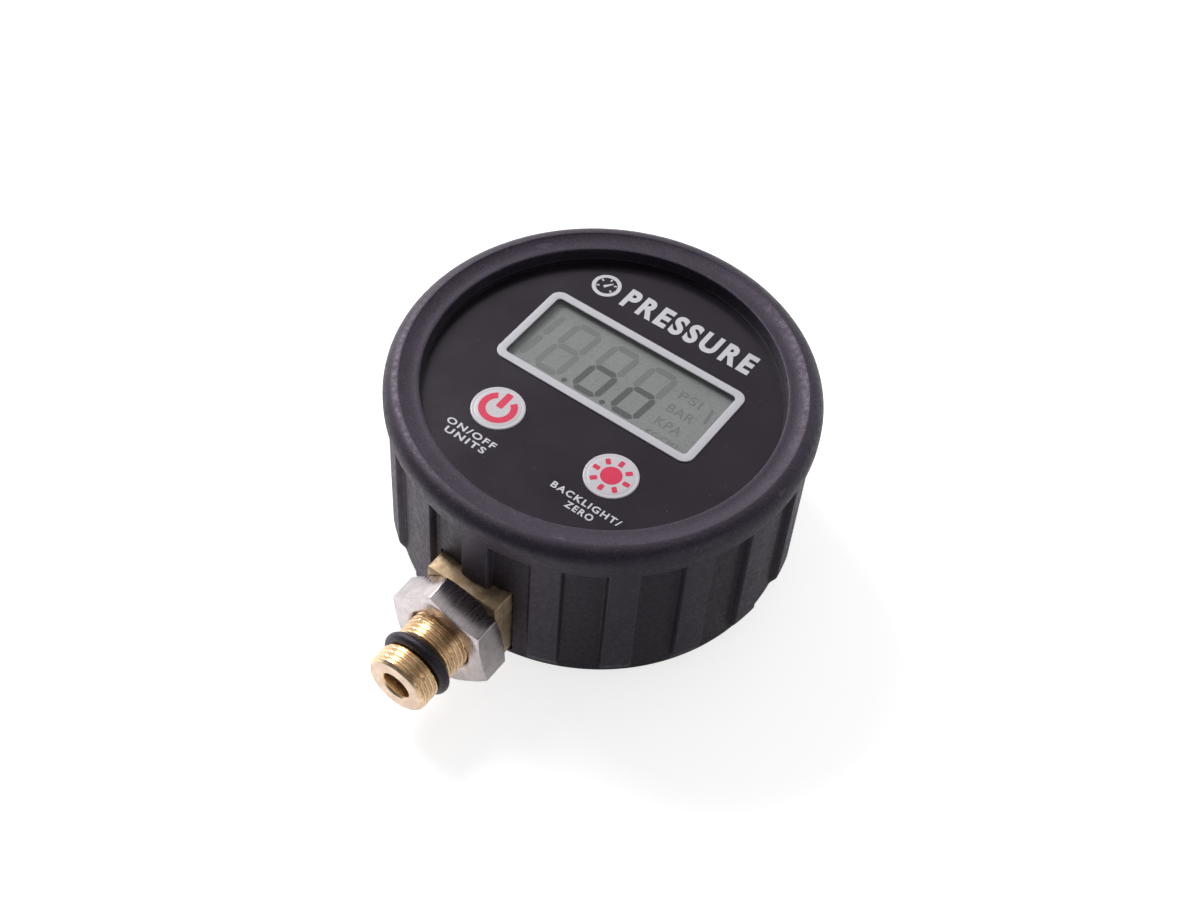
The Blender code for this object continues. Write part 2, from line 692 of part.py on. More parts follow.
def smooth_route(points, count):
    """Points along a smooth curve through the given ones."""
    route = []
    padded = [points[0], *points, points[-1]]
    for index in range(len(points) - 1):
        a, b, c, d = (Vector(p) for p in padded[index : index + 4])
        for step in range(count):
            t = step / count
            square = (2 * a - 5 * b + 4 * c - d) * t**2
            cube = (3 * b - a - 3 * c + d) * t**3
            route.append(0.5 * (2 * b + (c - a) * t + square + cube))
    route.append(Vector(points[-1]))
    return route


def tube(name, route, radius, colour, resolution=2):
    curve = bpy.data.curves.new(name, "CURVE")
    curve.dimensions = "3D"
    curve.bevel_depth = radius * MM
    curve.bevel_resolution = resolution
    curve.use_fill_caps = True
    spline = curve.splines.new("POLY")
    spline.points.add(len(route) - 1)
    for point, place in zip(spline.points, route):
        point.co = (*(place * MM), 1.0)
    curve.materials.append(materials[colour])
    obj = bpy.data.objects.new(name, curve)
    parts.objects.link(obj)
    return obj


def make_sensor_cable():
    """From the back of the sensor, round a bend and straight up to the board."""
    start = -(BLOCK_BACK + 2 * PAST)
    bend = start + 5.5
    points = [
        (0.0, start, STEM_HEIGHT),
        (0.0, bend - 2.5, STEM_HEIGHT),
        (0.0, bend, STEM_HEIGHT + 2.5),
        (0.0, bend + SIDE_GAP, BOARD_BOTTOM - 3.0),
        (0.0, bend + SIDE_GAP, BOARD_BOTTOM - FACE_GAP),
    ]
    tube("sensor_cable", smooth_route(points, 4), CABLE_RADIUS, "cable")


def make_jam_nut():
    corner_radius = NUT_FLATS / 2 / math.cos(math.pi / 6)
    thickness = NUT_FRONT - NUT_BACK
    shape = bmesh.new()
    bmesh.ops.create_cone(
        shape, cap_ends=True, segments=6, radius1=corner_radius, radius2=corner_radius, depth=thickness
    )
    bmesh.ops.translate(shape, vec=(0.0, 0.0, (NUT_FRONT + NUT_BACK) / 2), verts=shape.verts)
    turn = Matrix.Rotation(math.radians(NUT_TURN), 4, "Z")
    first_corner = Matrix.Rotation(math.radians(-90), 4, "Z")
    bmesh.ops.transform(shape, matrix=turn @ first_corner, verts=shape.verts)
    nut = add("jam_nut", to_mesh("jam_nut", shape), "nickel")
    lay_along_stem(nut)
    flat_radius = NUT_FLATS / 2 - 0.1
    chamfer = turned(
        "nut_chamfer",
        [
            (0.0, NUT_FRONT + 0.01),
            (flat_radius, NUT_FRONT + 0.01),
            (corner_radius + 0.2, NUT_FRONT - NUT_CHAMFER),
            (corner_radius + 0.2, NUT_BACK + NUT_CHAMFER),
            (flat_radius, NUT_BACK - 0.01),
            (0.0, NUT_BACK - 0.01),
        ],
        None,
        48,
    )
    lay_along_stem(chamfer)
    combine(nut, chamfer, "INTERSECT")
    radius = THREAD_RADIUS + BORE_CLEARANCE
    bore = cylinder("nut_bore", radius, NUT_BACK - PAST, NUT_FRONT + PAST, steps=STEM_STEPS)
    lay_along_stem(bore)
    combine(nut, bore)


def make_o_ring():
    centre = (RING_OUTER - RING_SECTION, RING_CENTRE)
    ring = turned("o_ring", arc(centre, RING_SECTION, 90, -234, 9), "seal_rubber", 32, True)
    lay_along_stem(ring)


# ---- power


def make_cells():
    for index, y in enumerate(CELL_ROWS):
        side = 1 if index == 0 else -1
        half = CELL_LENGTH / 2
        nub_radius, nub_length = CELL_NUB
        profile = [
            (0.0, half + nub_length),
            (nub_radius, half + nub_length),
            (nub_radius, half),
            (CELL_RADIUS - CELL_CRIMP, half),
            (CELL_RADIUS, half - CELL_CRIMP),
            (CELL_RADIUS, -half + CELL_CRIMP),
            (CELL_RADIUS - CELL_CRIMP, -half),
            (0.0, -half),
        ]
        cell = turned(f"cell_{index + 1}", profile, "cell_jacket", 24)
        cell.rotation_euler = (0.0, side * math.pi / 2, 0.0)
        cell.location = Vector((side * CELL_SHIFT, y, CELL_HEIGHT)) * MM
        make_spring(f"contact_spring_{index + 1}", -side, y)


def make_spring(name, side, y):
    """A conical contact spring between the cell's flat end and its contact plate."""
    count = round(SPRING_TURNS * 8)
    start_x = CONTACT_X - CONTACT_THICKNESS - SPRING_WIRE - FACE_GAP
    wide, narrow = SPRING_RADII
    route = []
    for index in range(count + 1):
        share = index / count
        angle = share * SPRING_TURNS * math.tau
        radius = wide + (narrow - wide) * share
        x = side * (start_x - SPRING_DEPTH * share)
        route.append(Vector((x, y + radius * math.cos(angle), CELL_HEIGHT + radius * math.sin(angle))))
    tube(name, route, SPRING_WIRE, "steel", 1)


def make_contacts():
    low, high = FLOOR_THICKNESS + SIDE_GAP, COVER_WALL_TOP - PAST
    half = CONTACT_WIDTH / 2

    def contact(name, side, y_low, y_high):
        x_near = side * (CONTACT_X - CONTACT_THICKNESS)
        x_far = side * CONTACT_X
        box(name, (min(x_near, x_far), y_low, low), (max(x_near, x_far), y_high, high), "steel")

    contact("bridge_contact", 1, CELL_ROWS[0] - half, CELL_ROWS[1] + half)
    contact("positive_contact", -1, CELL_ROWS[1] - half, CELL_ROWS[1] + half)
    contact("negative_contact", -1, CELL_ROWS[0] - half, CELL_ROWS[0] + half)


def make_battery_door():
    door = box("battery_door", (*DOOR_LOW, 0.0), (*DOOR_HIGH, DOOR_THICKNESS), "case_plastic", DOOR_CORNER)
    tab = cylinder("door_tab", DOOR_TAB[2], 0.0, DOOR_THICKNESS, DOOR_TAB[:2], steps=28)
    combine(door, tab, "UNION")
    head_top = sum(DOOR_SCREW[:2]) + FACE_GAP / 2
    combine(door, cylinders("door_head_hole", DOOR_SCREW[2] + SIDE_GAP, -PAST, head_top, [DOOR_TAB[:2]]))
    combine(door, cylinders("door_screw_hole", SHANK_HOLE, -PAST, DOOR_THICKNESS + PAST, [DOOR_TAB[:2]]))


# ---- screws


def make_screw(name, place, kind):
    """A pan head with a cross slot, its shank pointing up."""
    head_low, head_height, head_radius, length = kind
    head_high = head_low + head_height
    profile = [
        (0.0, head_high + length),
        (SHANK_RADIUS / 2, head_high + length),
        (SHANK_RADIUS, head_high + length - SHANK_RADIUS / 2),
        (SHANK_RADIUS, head_high),
        (head_radius, head_high),
        (head_radius, head_low + HEAD_ROUND),
        (head_radius - HEAD_ROUND, head_low),
        (0.0, head_low),
    ]
    screw = turned(name, profile, "steel", SCREW_STEPS)
    screw.location = (place[0] * MM, place[1] * MM, 0.0)
    reach = head_radius * SLOT_REACH
    half = SLOT_WIDTH / 2
    for part, x, y in (("slot", reach, half), ("cross", half, reach)):
        cutter = box(f"{name}_{part}", (-x, -y, head_low - PAST), (x, y, head_low + head_height / 2))
        cutter.location = screw.location
        combine(screw, cutter)


def make_screws():
    for name, kind, places in (
        ("case_screw", CASE_SCREW, CASE_SCREWS),
        ("board_screw", BOARD_SCREW, BOARD_SCREWS),
        ("block_screw", BLOCK_SCREW, BLOCK_SCREWS),
    ):
        for index, place in enumerate(places):
            make_screw(f"{name}_{index + 1}", place, kind)
    make_screw("battery_door_screw", DOOR_TAB[:2], DOOR_SCREW)


clear_scene()
parts = make_collection(OBJECT_NAME)
cutters = make_collection("cutters")
materials = {name: make_material(name) for name in COLOURS}
make_boot()
make_back_cover()
make_front_case()
make_gasket()
make_face()
make_display_stack()
make_circuit_board()
make_button("power", -1)
make_button("light", 1)
make_connector()
make_sensor()
make_sensor_cable()
make_jam_nut()
make_o_ring()
make_cells()
make_contacts()
make_battery_door()
make_screws()
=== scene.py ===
"""Looks for the digital pressure gauge head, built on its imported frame.

The gauge lies on its back: +Z points out of the display, the threaded stem points along -Y, and +X is
the display's right. Sizes below are in millimetres, and mesh_of turns them into metres.
"""

import json
import math
import random

import bmesh  # noqa: E402
import bpy  # noqa: E402
from mathutils import Matrix, Vector  # noqa: E402


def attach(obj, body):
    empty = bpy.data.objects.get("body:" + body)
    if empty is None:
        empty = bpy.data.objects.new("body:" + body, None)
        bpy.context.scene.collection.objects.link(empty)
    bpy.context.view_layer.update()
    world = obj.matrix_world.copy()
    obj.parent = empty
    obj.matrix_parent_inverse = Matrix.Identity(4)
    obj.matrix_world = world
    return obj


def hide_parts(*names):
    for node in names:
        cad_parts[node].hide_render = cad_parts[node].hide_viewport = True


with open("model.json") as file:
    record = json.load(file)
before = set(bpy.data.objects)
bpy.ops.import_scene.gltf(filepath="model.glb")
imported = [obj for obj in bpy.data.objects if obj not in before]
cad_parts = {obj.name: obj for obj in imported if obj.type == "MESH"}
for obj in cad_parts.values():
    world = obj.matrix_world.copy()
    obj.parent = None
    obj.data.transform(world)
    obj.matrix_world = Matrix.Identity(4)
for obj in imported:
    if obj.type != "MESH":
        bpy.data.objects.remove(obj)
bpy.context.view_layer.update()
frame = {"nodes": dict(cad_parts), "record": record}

MM = 0.001
ROOT = "gauge"

# Boot
RIM_RADIUS = 39.0
RIDGE = (36.15, 38.06)  # radius and height of the bead's sharp inner edge
BEAD_FOOT = 35.2  # height at which the bead's round side turns straight
BAND_EDGE = 33.0  # radius at which the band inside the ridge is flat
SKIRT_FOOT = 33.6
POCKET_TOP = (31.9, 31.35)  # where the sunk wall between the ribs starts, and where it is at full depth
WALL_RADIUS = 37.05
RIB_RISE = 1.3
RIB_RADIUS_MID = WALL_RADIUS + RIB_RISE / 2
RIB_COUNT = 18
RIB_TOP_HALF = 2.5
RIB_FOOT_HALF = 3.15
RIB_TURN = 1.4  # degrees by which the rib under the port is turned from the stem
RIB_FADE = (1.2, 4.8)  # heights between which the ribs grow out of the foot
LIP_RADIUS = 32.5
LIP_EDGE = 37.0
LIP_ROUND = 0.28
LIP_FOOT = 34.6
BOOT_BORE = 35.0
BACK_LIP = (33.2, 1.8)  # opening radius and thickness
FOOT_ROUND = 1.5
PORT_HALF = 8.0
PORT_Z = (1.95, 19.85)

# Face
FACE_TOP = 34.3
FACE_DEPTH = 0.55
FACE_RADIUS = 32.4
PRINT_DEPTH = 0.03
DISPLAY_Y = 5.1
FRAME_SIZE = (42.4, 19.8)
FRAME_BAND = 1.6
LENS_SIZE = (39.6, 17.0)
LCD_TOP = 33.2
BUTTON_X = 12.2
BUTTON_Y = -14.75
BUTTON_RADIUS = 4.9
BUTTON_STEM = (2.0, 28.4)  # radius, and height of its foot
BUTTON_FLANGE = (6.2, 30.5, 31.6)  # radius, and heights of its underside and top
BUTTON_TOP = 34.58

# Stem
STEM_HEIGHT = 10.85
BLOCK = (7.5, 8.6, 40.7, 21.0)  # half width, half height, and distance of its front and back
THREAD = (6.0, 5.55, 1.0)  # crest, root and pitch
FLANK = (0.16, 0.47)  # where the flank starts and ends, in pitches from the crest
NICK = (0.004, 0.017)  # half width of a nick's floor and mouth, in turns
NICK_REACH = (0.10, 0.34)  # the same along the stem, in pitches
GROOVE = (4.4, 51.7, 54.1)  # radius, and where it starts and ends along the stem
RING = (5.77, 52.9, 1.13)  # radius and place of the ring's centre line, and its round
STEM_TIP = 58.8
BORE_RADIUS = 2.75
NUT = (19.2, 41.0, 47.05)  # across flats, and where it starts and ends
NUT_TURN = 41.15
NUT_CHAMFER = 0.62
NUT_MOUTH = (6.95, 6.2)  # radius of the hole at its mouth and inside


# ---- mesh helpers


def mesh_of(name, shape, smooth=40):
    """An object of a bmesh in millimetres, which it frees."""
    bmesh.ops.scale(shape, vec=(MM, MM, MM), verts=shape.verts)
    mesh = bpy.data.meshes.new(name)
    shape.to_mesh(mesh)
    shape.free()
    obj = bpy.data.objects.new(name, mesh)
    bpy.context.scene.collection.objects.link(obj)
    if smooth:
        mesh.shade_smooth()
        mesh.set_sharp_from_angle(angle=math.radians(smooth))
    return obj


def lofted(rings, close_rings=False):
    """A bmesh through rings of equally many points, each a closed loop. Open ends are capped."""
    shape = bmesh.new()
    rows = [[shape.verts.new(point) for point in ring] for ring in rings]
    pairs = list(zip(rows, rows[1:]))
    if close_rings:
        pairs.append((rows[-1], rows[0]))
    for low, high in pairs:
        for index in range(len(low)):
            after = (index + 1) % len(low)
            shape.faces.new((low[index], low[after], high[after], high[index]))
    if not close_rings:
        shape.faces.new(rows[0][::-1])
        shape.faces.new(rows[-1])
    bmesh.ops.recalc_face_normals(shape, faces=shape.faces)
    return shape


def eased(value, low, high):
    """0 at low and 1 at high, smooth between them."""
    share = min(max((value - low) / (high - low), 0.0), 1.0)
    return share * share * (3 - 2 * share)


def arc(centre, radius, start, end, count):
    """Points along an arc, its angles in degrees."""
    angles = [math.radians(start + (end - start) * i / count) for i in range(count + 1)]
    return [(centre[0] + radius * math.cos(a), centre[1] + radius * math.sin(a)) for a in angles]


def turned(name, profile, steps=128, closed=False, smooth=40):
    """A profile of (radius, height) turned about Z. Ends off the axis are capped flat."""
    rings = []
    for radius, height in profile:
        angles = [math.tau * i / steps for i in range(steps)]
        rings.append([(radius * math.cos(a), radius * math.sin(a), height) for a in angles])
    return mesh_of(name, lofted(rings, close_rings=closed), smooth)


def along_stem(obj):
    """Lays a piece made about Z along the stem: its +Z points along -Y."""
    obj.data.transform(Matrix.Translation((0, 0, STEM_HEIGHT * MM)) @ Matrix.Rotation(math.pi / 2, 4, "X"))
    return obj


def rounded_rect(half_x, half_y, corner, centre=(0.0, 0.0), count=8):
    """Points round a rectangle with round corners, anticlockwise."""
    points = []
    for turn, (sx, sy) in enumerate(((1, 1), (-1, 1), (-1, -1), (1, -1))):
        middle = (centre[0] + sx * (half_x - corner), centre[1] + sy * (half_y - corner))
        points += arc(middle, corner, 90 * turn, 90 * turn + 90, count)
    return points


def slab(name, outline, low, high):
    """A flat outline between two heights."""
    shape = bmesh.new()
    face = shape.faces.new([shape.verts.new((x, y, low)) for x, y in outline])
    made = bmesh.ops.extrude_face_region(shape, geom=[face])["geom"]
    raised = [item for item in made if isinstance(item, bmesh.types.BMVert)]
    bmesh.ops.translate(shape, vec=(0, 0, high - low), verts=raised)
    bmesh.ops.recalc_face_normals(shape, faces=shape.faces)
    return mesh_of(name, shape)


def bevel(obj, width, segments=2, angle=40):
    """Rounds the edges that are sharper than an angle."""
    change = obj.modifiers.new("Edges", "BEVEL")
    change.width = width * MM
    change.segments = segments
    change.limit_method = "ANGLE"
    change.angle_limit = math.radians(angle)


def combine(obj, other, operation="DIFFERENCE"):
    """Cuts a piece with another, or keeps what they share."""
    change = obj.modifiers.new(other.name, "BOOLEAN")
    change.operation = operation
    change.object = other
    change.solver = "EXACT"


def settle(obj, *helpers, smooth=40):
    """Applies an object's modifiers and removes the helpers that they used."""
    graph = bpy.context.evaluated_depsgraph_get()
    mesh = bpy.data.meshes.new_from_object(obj.evaluated_get(graph))
    obj.modifiers.clear()
    old = obj.data
    obj.data = mesh
    mesh.name = obj.name
    bpy.data.meshes.remove(old)
    for helper in helpers:
        bpy.data.objects.remove(helper, do_unlink=True)
    if smooth:
        mesh.shade_smooth()
        mesh.set_sharp_from_angle(angle=math.radians(smooth))
    else:
        mesh.shade_flat()
    return obj


def cutter_box(low, high):
    """A box between two corners, to cut with or to start from."""
    shape = bmesh.new()
    made = bmesh.ops.create_cube(shape, size=1.0)["verts"]
    bmesh.ops.scale(shape, vec=[b - a for a, b in zip(low, high)], verts=made)
    bmesh.ops.translate(shape, vec=[(a + b) / 2 for a, b in zip(low, high)], verts=made)
    return mesh_of("cutter", shape, 0)


def cutter_round(radius, low, high, at=(0.0, 0.0), steps=64):
    """An upright cylinder to cut with."""
    obj = turned("cutter", [(radius, low), (radius, high)], steps)
    obj.data.transform(Matrix.Translation((at[0] * MM, at[1] * MM, 0)))
    return obj


def place(obj, look, body, slot, *nodes):
    """Gives a piece its material and its body, and hides the CAD nodes that it stands for; the slot is not
    used.
    """
    obj.data.materials.clear()
    obj.data.materials.append(look)
    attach(obj, body)
    if nodes:
        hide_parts(*nodes)
    return obj


# ---- materials


MIDDLE = (0.3, 0.7)  # the range that most of a noise texture's values are in


class Graph:
    """A node tree under construction. Its main node is the one that set fills in."""

    def __init__(self, tree, main):
        self.nodes = tree.nodes
        self.links = tree.links
        self.main = self.nodes[main]

    def set(self, socket, value, node=None):
        """Fills a socket with a value or links it to another socket."""
        target = (node or self.main).inputs[socket]
        if isinstance(value, bpy.types.NodeSocket):
            self.links.new(value, target)
        else:
            target.default_value = value

    def add(self, kind, inputs=(), **settings):
        node = self.nodes.new(kind)
        for key, value in settings.items():
            setattr(node, key, value)
        for key, value in dict(inputs).items():
            self.set(key, value, node)
        return node

    def band(self, value, low, high, out_low=0.0, out_high=1.0):
        """A value run smoothly from one range to another."""
        inputs = {
            "Value": value,
            "From Min": low,
            "From Max": high,
            "To Min": out_low,
            "To Max": out_high,
        }
        return self.add("ShaderNodeMapRange", inputs, interpolation_type="SMOOTHSTEP").outputs["Result"]

    def maths(self, operation, a, b):
        return self.add("ShaderNodeMath", {0: a, 1: b}, operation=operation).outputs[0]

    def times(self, a, b):
        return self.maths("MULTIPLY", a, b)

    def vectors(self, operation, a, b):
        """The number that two vectors give."""
        return self.add("ShaderNodeVectorMath", {0: a, 1: b}, operation=operation).outputs["Value"]

    def camera_ray(self):
        return self.add("ShaderNodeLightPath").outputs["Is Camera Ray"]


class Look(Graph):
    """A procedural material. Its textures are laid out in millimetres on the object itself."""

    def __init__(self, name, colour, roughness, metallic=0.0, **sockets):
        self.material = bpy.data.materials.new(name)
        self.material.use_nodes = True
        super().__init__(self.material.node_tree, "Principled BSDF")
        self.set("Base Color", (*colour, 1.0))
        self.set("Roughness", roughness)
        self.set("Metallic", metallic)
        for socket, value in sockets.items():
            self.set(socket.replace("_", " "), value)
        self.normal = None
        self.place = self.add("ShaderNodeTexCoord").outputs["Object"]

    def coords(self, scale=(1.0, 1.0, 1.0)):
        node = self.add("ShaderNodeMapping", {"Vector": self.place})
        node.inputs["Scale"].default_value = [s / MM for s in scale]
        return node.outputs["Vector"]

    def noise(self, per_mm, detail=3.0, stretch=(1.0, 1.0, 1.0), rough=0.55):
        inputs = {"Vector": self.coords(stretch), "Scale": per_mm, "Detail": detail, "Roughness": rough}
        return self.add("ShaderNodeTexNoise", inputs).outputs["Fac"]

    def cells(self, per_mm):
        inputs = {"Vector": self.coords(), "Scale": per_mm}
        return self.add("ShaderNodeTexVoronoi", inputs).outputs["Distance"]

    def blend(self, share, first, second):
        """A colour between two, each a tuple or a socket."""
        node = self.add("ShaderNodeMix", data_type="RGBA")
        self.set(0, share, node)
        for index, colour in ((6, first), (7, second)):
            self.set(index, (*colour, 1.0) if isinstance(colour, tuple) else colour, node)
        return node.outputs[2]

    def roughness(self, value, low, high):
        """Roughness that follows a texture."""
        self.set("Roughness", self.band(value, *MIDDLE, low, high))

    def bump(self, height, depth_mm, strength=1.0):
        """Relief that adds to any given before."""
        inputs = {"Height": height, "Distance": depth_mm * MM, "Strength": strength}
        if self.normal:
            inputs["Normal"] = self.normal
        self.normal = self.add("ShaderNodeBump", inputs).outputs["Normal"]
        self.set("Normal", self.normal)


def rubber_look(name, dark, light, grain, roughness, gloss, pocket_shade=False):
    """Moulded rubber: uneven colour, fine grain, a painted highlight along convex edges and a few specks of
    dust.

    With the pocket shade switched on, the sunk wall between the boot's ribs is painted darker than the ribs:
    painted shade in the recesses.
    """
    look = Look(name, dark, roughness, Specular_IOR_Level=gloss, Specular_Tint=(0.94, 0.80, 1.0, 1.0))
    cloud = look.band(look.noise(0.22, 5.0), 0.35, 0.68)
    chalk = look.times(look.band(look.noise(3.0, 1.0, rough=0.8), 0.48, 0.74), 0.6)
    colour = look.blend(chalk, look.blend(cloud, dark, light), tuple(2.6 * c for c in light))
    # Painted highlight: convex edges and the ridge are painted paler, as if they caught the light.
    edge_highlight = look.band(look.add("ShaderNodeNewGeometry").outputs["Pointiness"], 0.515, 0.56, 0.0, 0.6)
    colour = look.blend(edge_highlight, colour, tuple(3.0 * c for c in light))
    speck = look.times(look.band(look.cells(1.5), 0.09, 0.05), look.band(look.noise(0.6, 1.0), 0.56, 0.60))
    colour = look.blend(speck, colour, (0.09, 0.085, 0.095))
    if pocket_shade:
        parts = look.add("ShaderNodeSeparateXYZ", {"Vector": look.place})
        squares = [look.maths("POWER", parts.outputs[axis], 2.0) for axis in ("X", "Y")]
        radius = look.maths("POWER", look.maths("ADD", *squares), 0.5)
        sunk = look.band(radius, (WALL_RADIUS + RIB_RISE - 0.1) * MM, (WALL_RADIUS + 0.2) * MM)
        below = look.band(parts.outputs["Z"], (POCKET_TOP[0] + 0.2) * MM, POCKET_TOP[1] * MM)
        # Painted shade: the sunk wall between the ribs, below the rim, is darkened.
        colour = look.blend(look.times(sunk, below), colour, tuple(0.5 * c for c in dark))
    look.set("Base Color", colour)
    look.roughness(look.noise(1.1, 4.0), roughness - 0.09, roughness + 0.09)
    look.bump(look.noise(grain, 2.0, rough=0.7), 0.05, 0.9)
    look.bump(look.noise(0.35, 2.0), 0.08, 0.4)
    return look.material


def plastic_look(name, dark, light, grain, depth, roughness):
    """Moulded plastic with a spark-eroded texture."""
    look = Look(name, dark, roughness)
    look.set("Base Color", look.blend(look.band(look.noise(0.3, 4.0), *MIDDLE), dark, light))
    look.roughness(look.noise(0.8, 4.0), roughness - 0.07, roughness + 0.07)
    look.bump(look.noise(grain, 3.0, rough=0.6), depth, 0.8)
    return look.material


def painted_look(name, dark, light, roughness):
    """Satin paint or ink with a fine flake."""
    look = Look(name, light, roughness)
    flake = look.band(look.noise(14.0, 1.0, rough=0.8), 0.35, 0.65)
    cloud = look.band(look.noise(0.5, 3.0), *MIDDLE, 0.0, 0.6)
    look.set("Base Color", look.blend(look.maths("MAXIMUM", flake, cloud), dark, light))
    look.roughness(look.noise(2.0, 3.0), roughness - 0.06, roughness + 0.06)
    look.bump(look.noise(6.0, 2.0), 0.006, 0.6)
    return look.material


def face_look():
    """Glossy black overlay with faint waviness and dust."""
    tint = (0.96, 0.84, 1.0, 1.0)
    look = Look("face_gloss", (0.010, 0.008, 0.012), 0.2, Specular_IOR_Level=0.5, Specular_Tint=tint)
    cloud = look.band(look.noise(0.08, 4.0), *MIDDLE)
    colour = look.blend(cloud, (0.009, 0.007, 0.010), (0.015, 0.012, 0.017))
    dust = look.times(look.band(look.cells(0.8), 0.07, 0.03), look.band(look.noise(0.35, 1.0), 0.58, 0.62))
    look.set("Base Color", look.blend(dust, colour, (0.20, 0.17, 0.20)))
    look.roughness(look.noise(0.10, 3.0), 0.20, 0.25)
    look.bump(look.noise(9.0, 1.0), 0.0012, 0.5)
    return look.material


def metal_look(name, dark, light, roughness, lines, line_depth, nick=0.0, metallic=1.0):
    """Bare metal with tool marks that run along one direction, blotches and small dark nicks."""
    look = Look(name, light, roughness, metallic)
    blotch = look.band(look.noise(0.45, 5.0, rough=0.65), *MIDDLE)
    colour = look.blend(blotch, dark, light)
    mark = look.noise(1.0, 3.0, stretch=lines, rough=0.7)
    colour = look.blend(look.band(mark, 0.62, 0.78, 0.0, 0.5), colour, tuple(0.45 * c for c in dark))
    if nick:
        pit = look.times(look.band(look.cells(1.6), 0.17, 0.10), look.band(look.noise(0.9, 2.0), 0.55, 0.63))
        colour = look.blend(look.times(pit, nick), colour, tuple(0.25 * c for c in dark))
    look.set("Base Color", colour)
    look.roughness(mark, roughness - 0.08, roughness + 0.10)
    look.bump(mark, line_depth, 0.6)
    look.bump(look.noise(0.8, 3.0), 0.012, 0.4)
    return look.material


def lcd_look():
    """Grey-green reflective display glass, uneven and slightly grained."""
    look = Look("lcd_glass", (0.22, 0.25, 0.24), 0.28, Specular_IOR_Level=0.35)
    cloud = look.band(look.noise(0.16, 3.0), *MIDDLE)
    grain = look.band(look.noise(9.0, 2.0), *MIDDLE, 0.0, 0.35)
    colour = look.blend(cloud, (0.300, 0.309, 0.314), (0.328, 0.341, 0.341))
    look.set("Base Color", look.blend(grain, colour, (0.275, 0.284, 0.288)))
    look.roughness(look.noise(1.5, 3.0), 0.24, 0.34)
    look.bump(look.noise(3.0, 2.0), 0.003, 0.4)
    return look.material


def clear_look():
    """Thin clear window: it lets everything through and adds only a soft reflection."""
    look = Look("clear_window", (0.9, 0.9, 0.9), 0.12)
    look.nodes.remove(look.main)
    out = look.nodes["Material Output"]
    see_through = look.add("ShaderNodeBsdfTransparent", {"Color": (0.95, 0.955, 0.95, 1.0)})
    haze = look.band(look.noise(0.12, 2.0), *MIDDLE, 0.15, 0.19)
    gloss = look.add("ShaderNodeBsdfGlossy", {"Color": (1.0, 1.0, 1.0, 1.0), "Roughness": haze})
    slant = look.add("ShaderNodeLayerWeight", {"Blend": 0.5}).outputs["Facing"]
    share = look.maths("ADD", look.times(look.maths("POWER", slant, 5.0), 0.96), 0.035)
    mix = look.add("ShaderNodeMixShader", {0: share, 1: see_through.outputs[0], 2: gloss.outputs[0]})
    look.set("Surface", mix.outputs[0], out)
    return look.material


def board_look():
    """Green solder mask over copper tracks."""
    look = Look("board_laminate", (0.02, 0.10, 0.04), 0.35)
    brick = look.add("ShaderNodeTexBrick", {"Vector": look.coords(), "Scale": 0.35, "Mortar Size": 0.03})
    tracks = look.band(brick.outputs["Fac"], 0.2, 0.8)
    look.set("Base Color", look.blend(tracks, (0.015, 0.085, 0.035), (0.05, 0.20, 0.07)))
    look.roughness(look.noise(1.0), 0.28, 0.42)
    look.bump(tracks, 0.03, 0.5)
    return look.material


def cell_look():
    """A plain printed jacket with a darker band at one end."""
    look = Look("cell_jacket", (0.05, 0.09, 0.20), 0.3, 0.35)
    split = look.add("ShaderNodeSeparateXYZ", {"Vector": look.place}).outputs["X"]
    band = look.band(split, 8.5 * MM, 8.8 * MM)
    look.set("Base Color", look.blend(band, (0.04, 0.08, 0.20), (0.55, 0.45, 0.22)))
    look.roughness(look.noise(1.2), 0.24, 0.38)
    look.bump(look.noise(0.8), 0.02, 0.4)
    return look.material


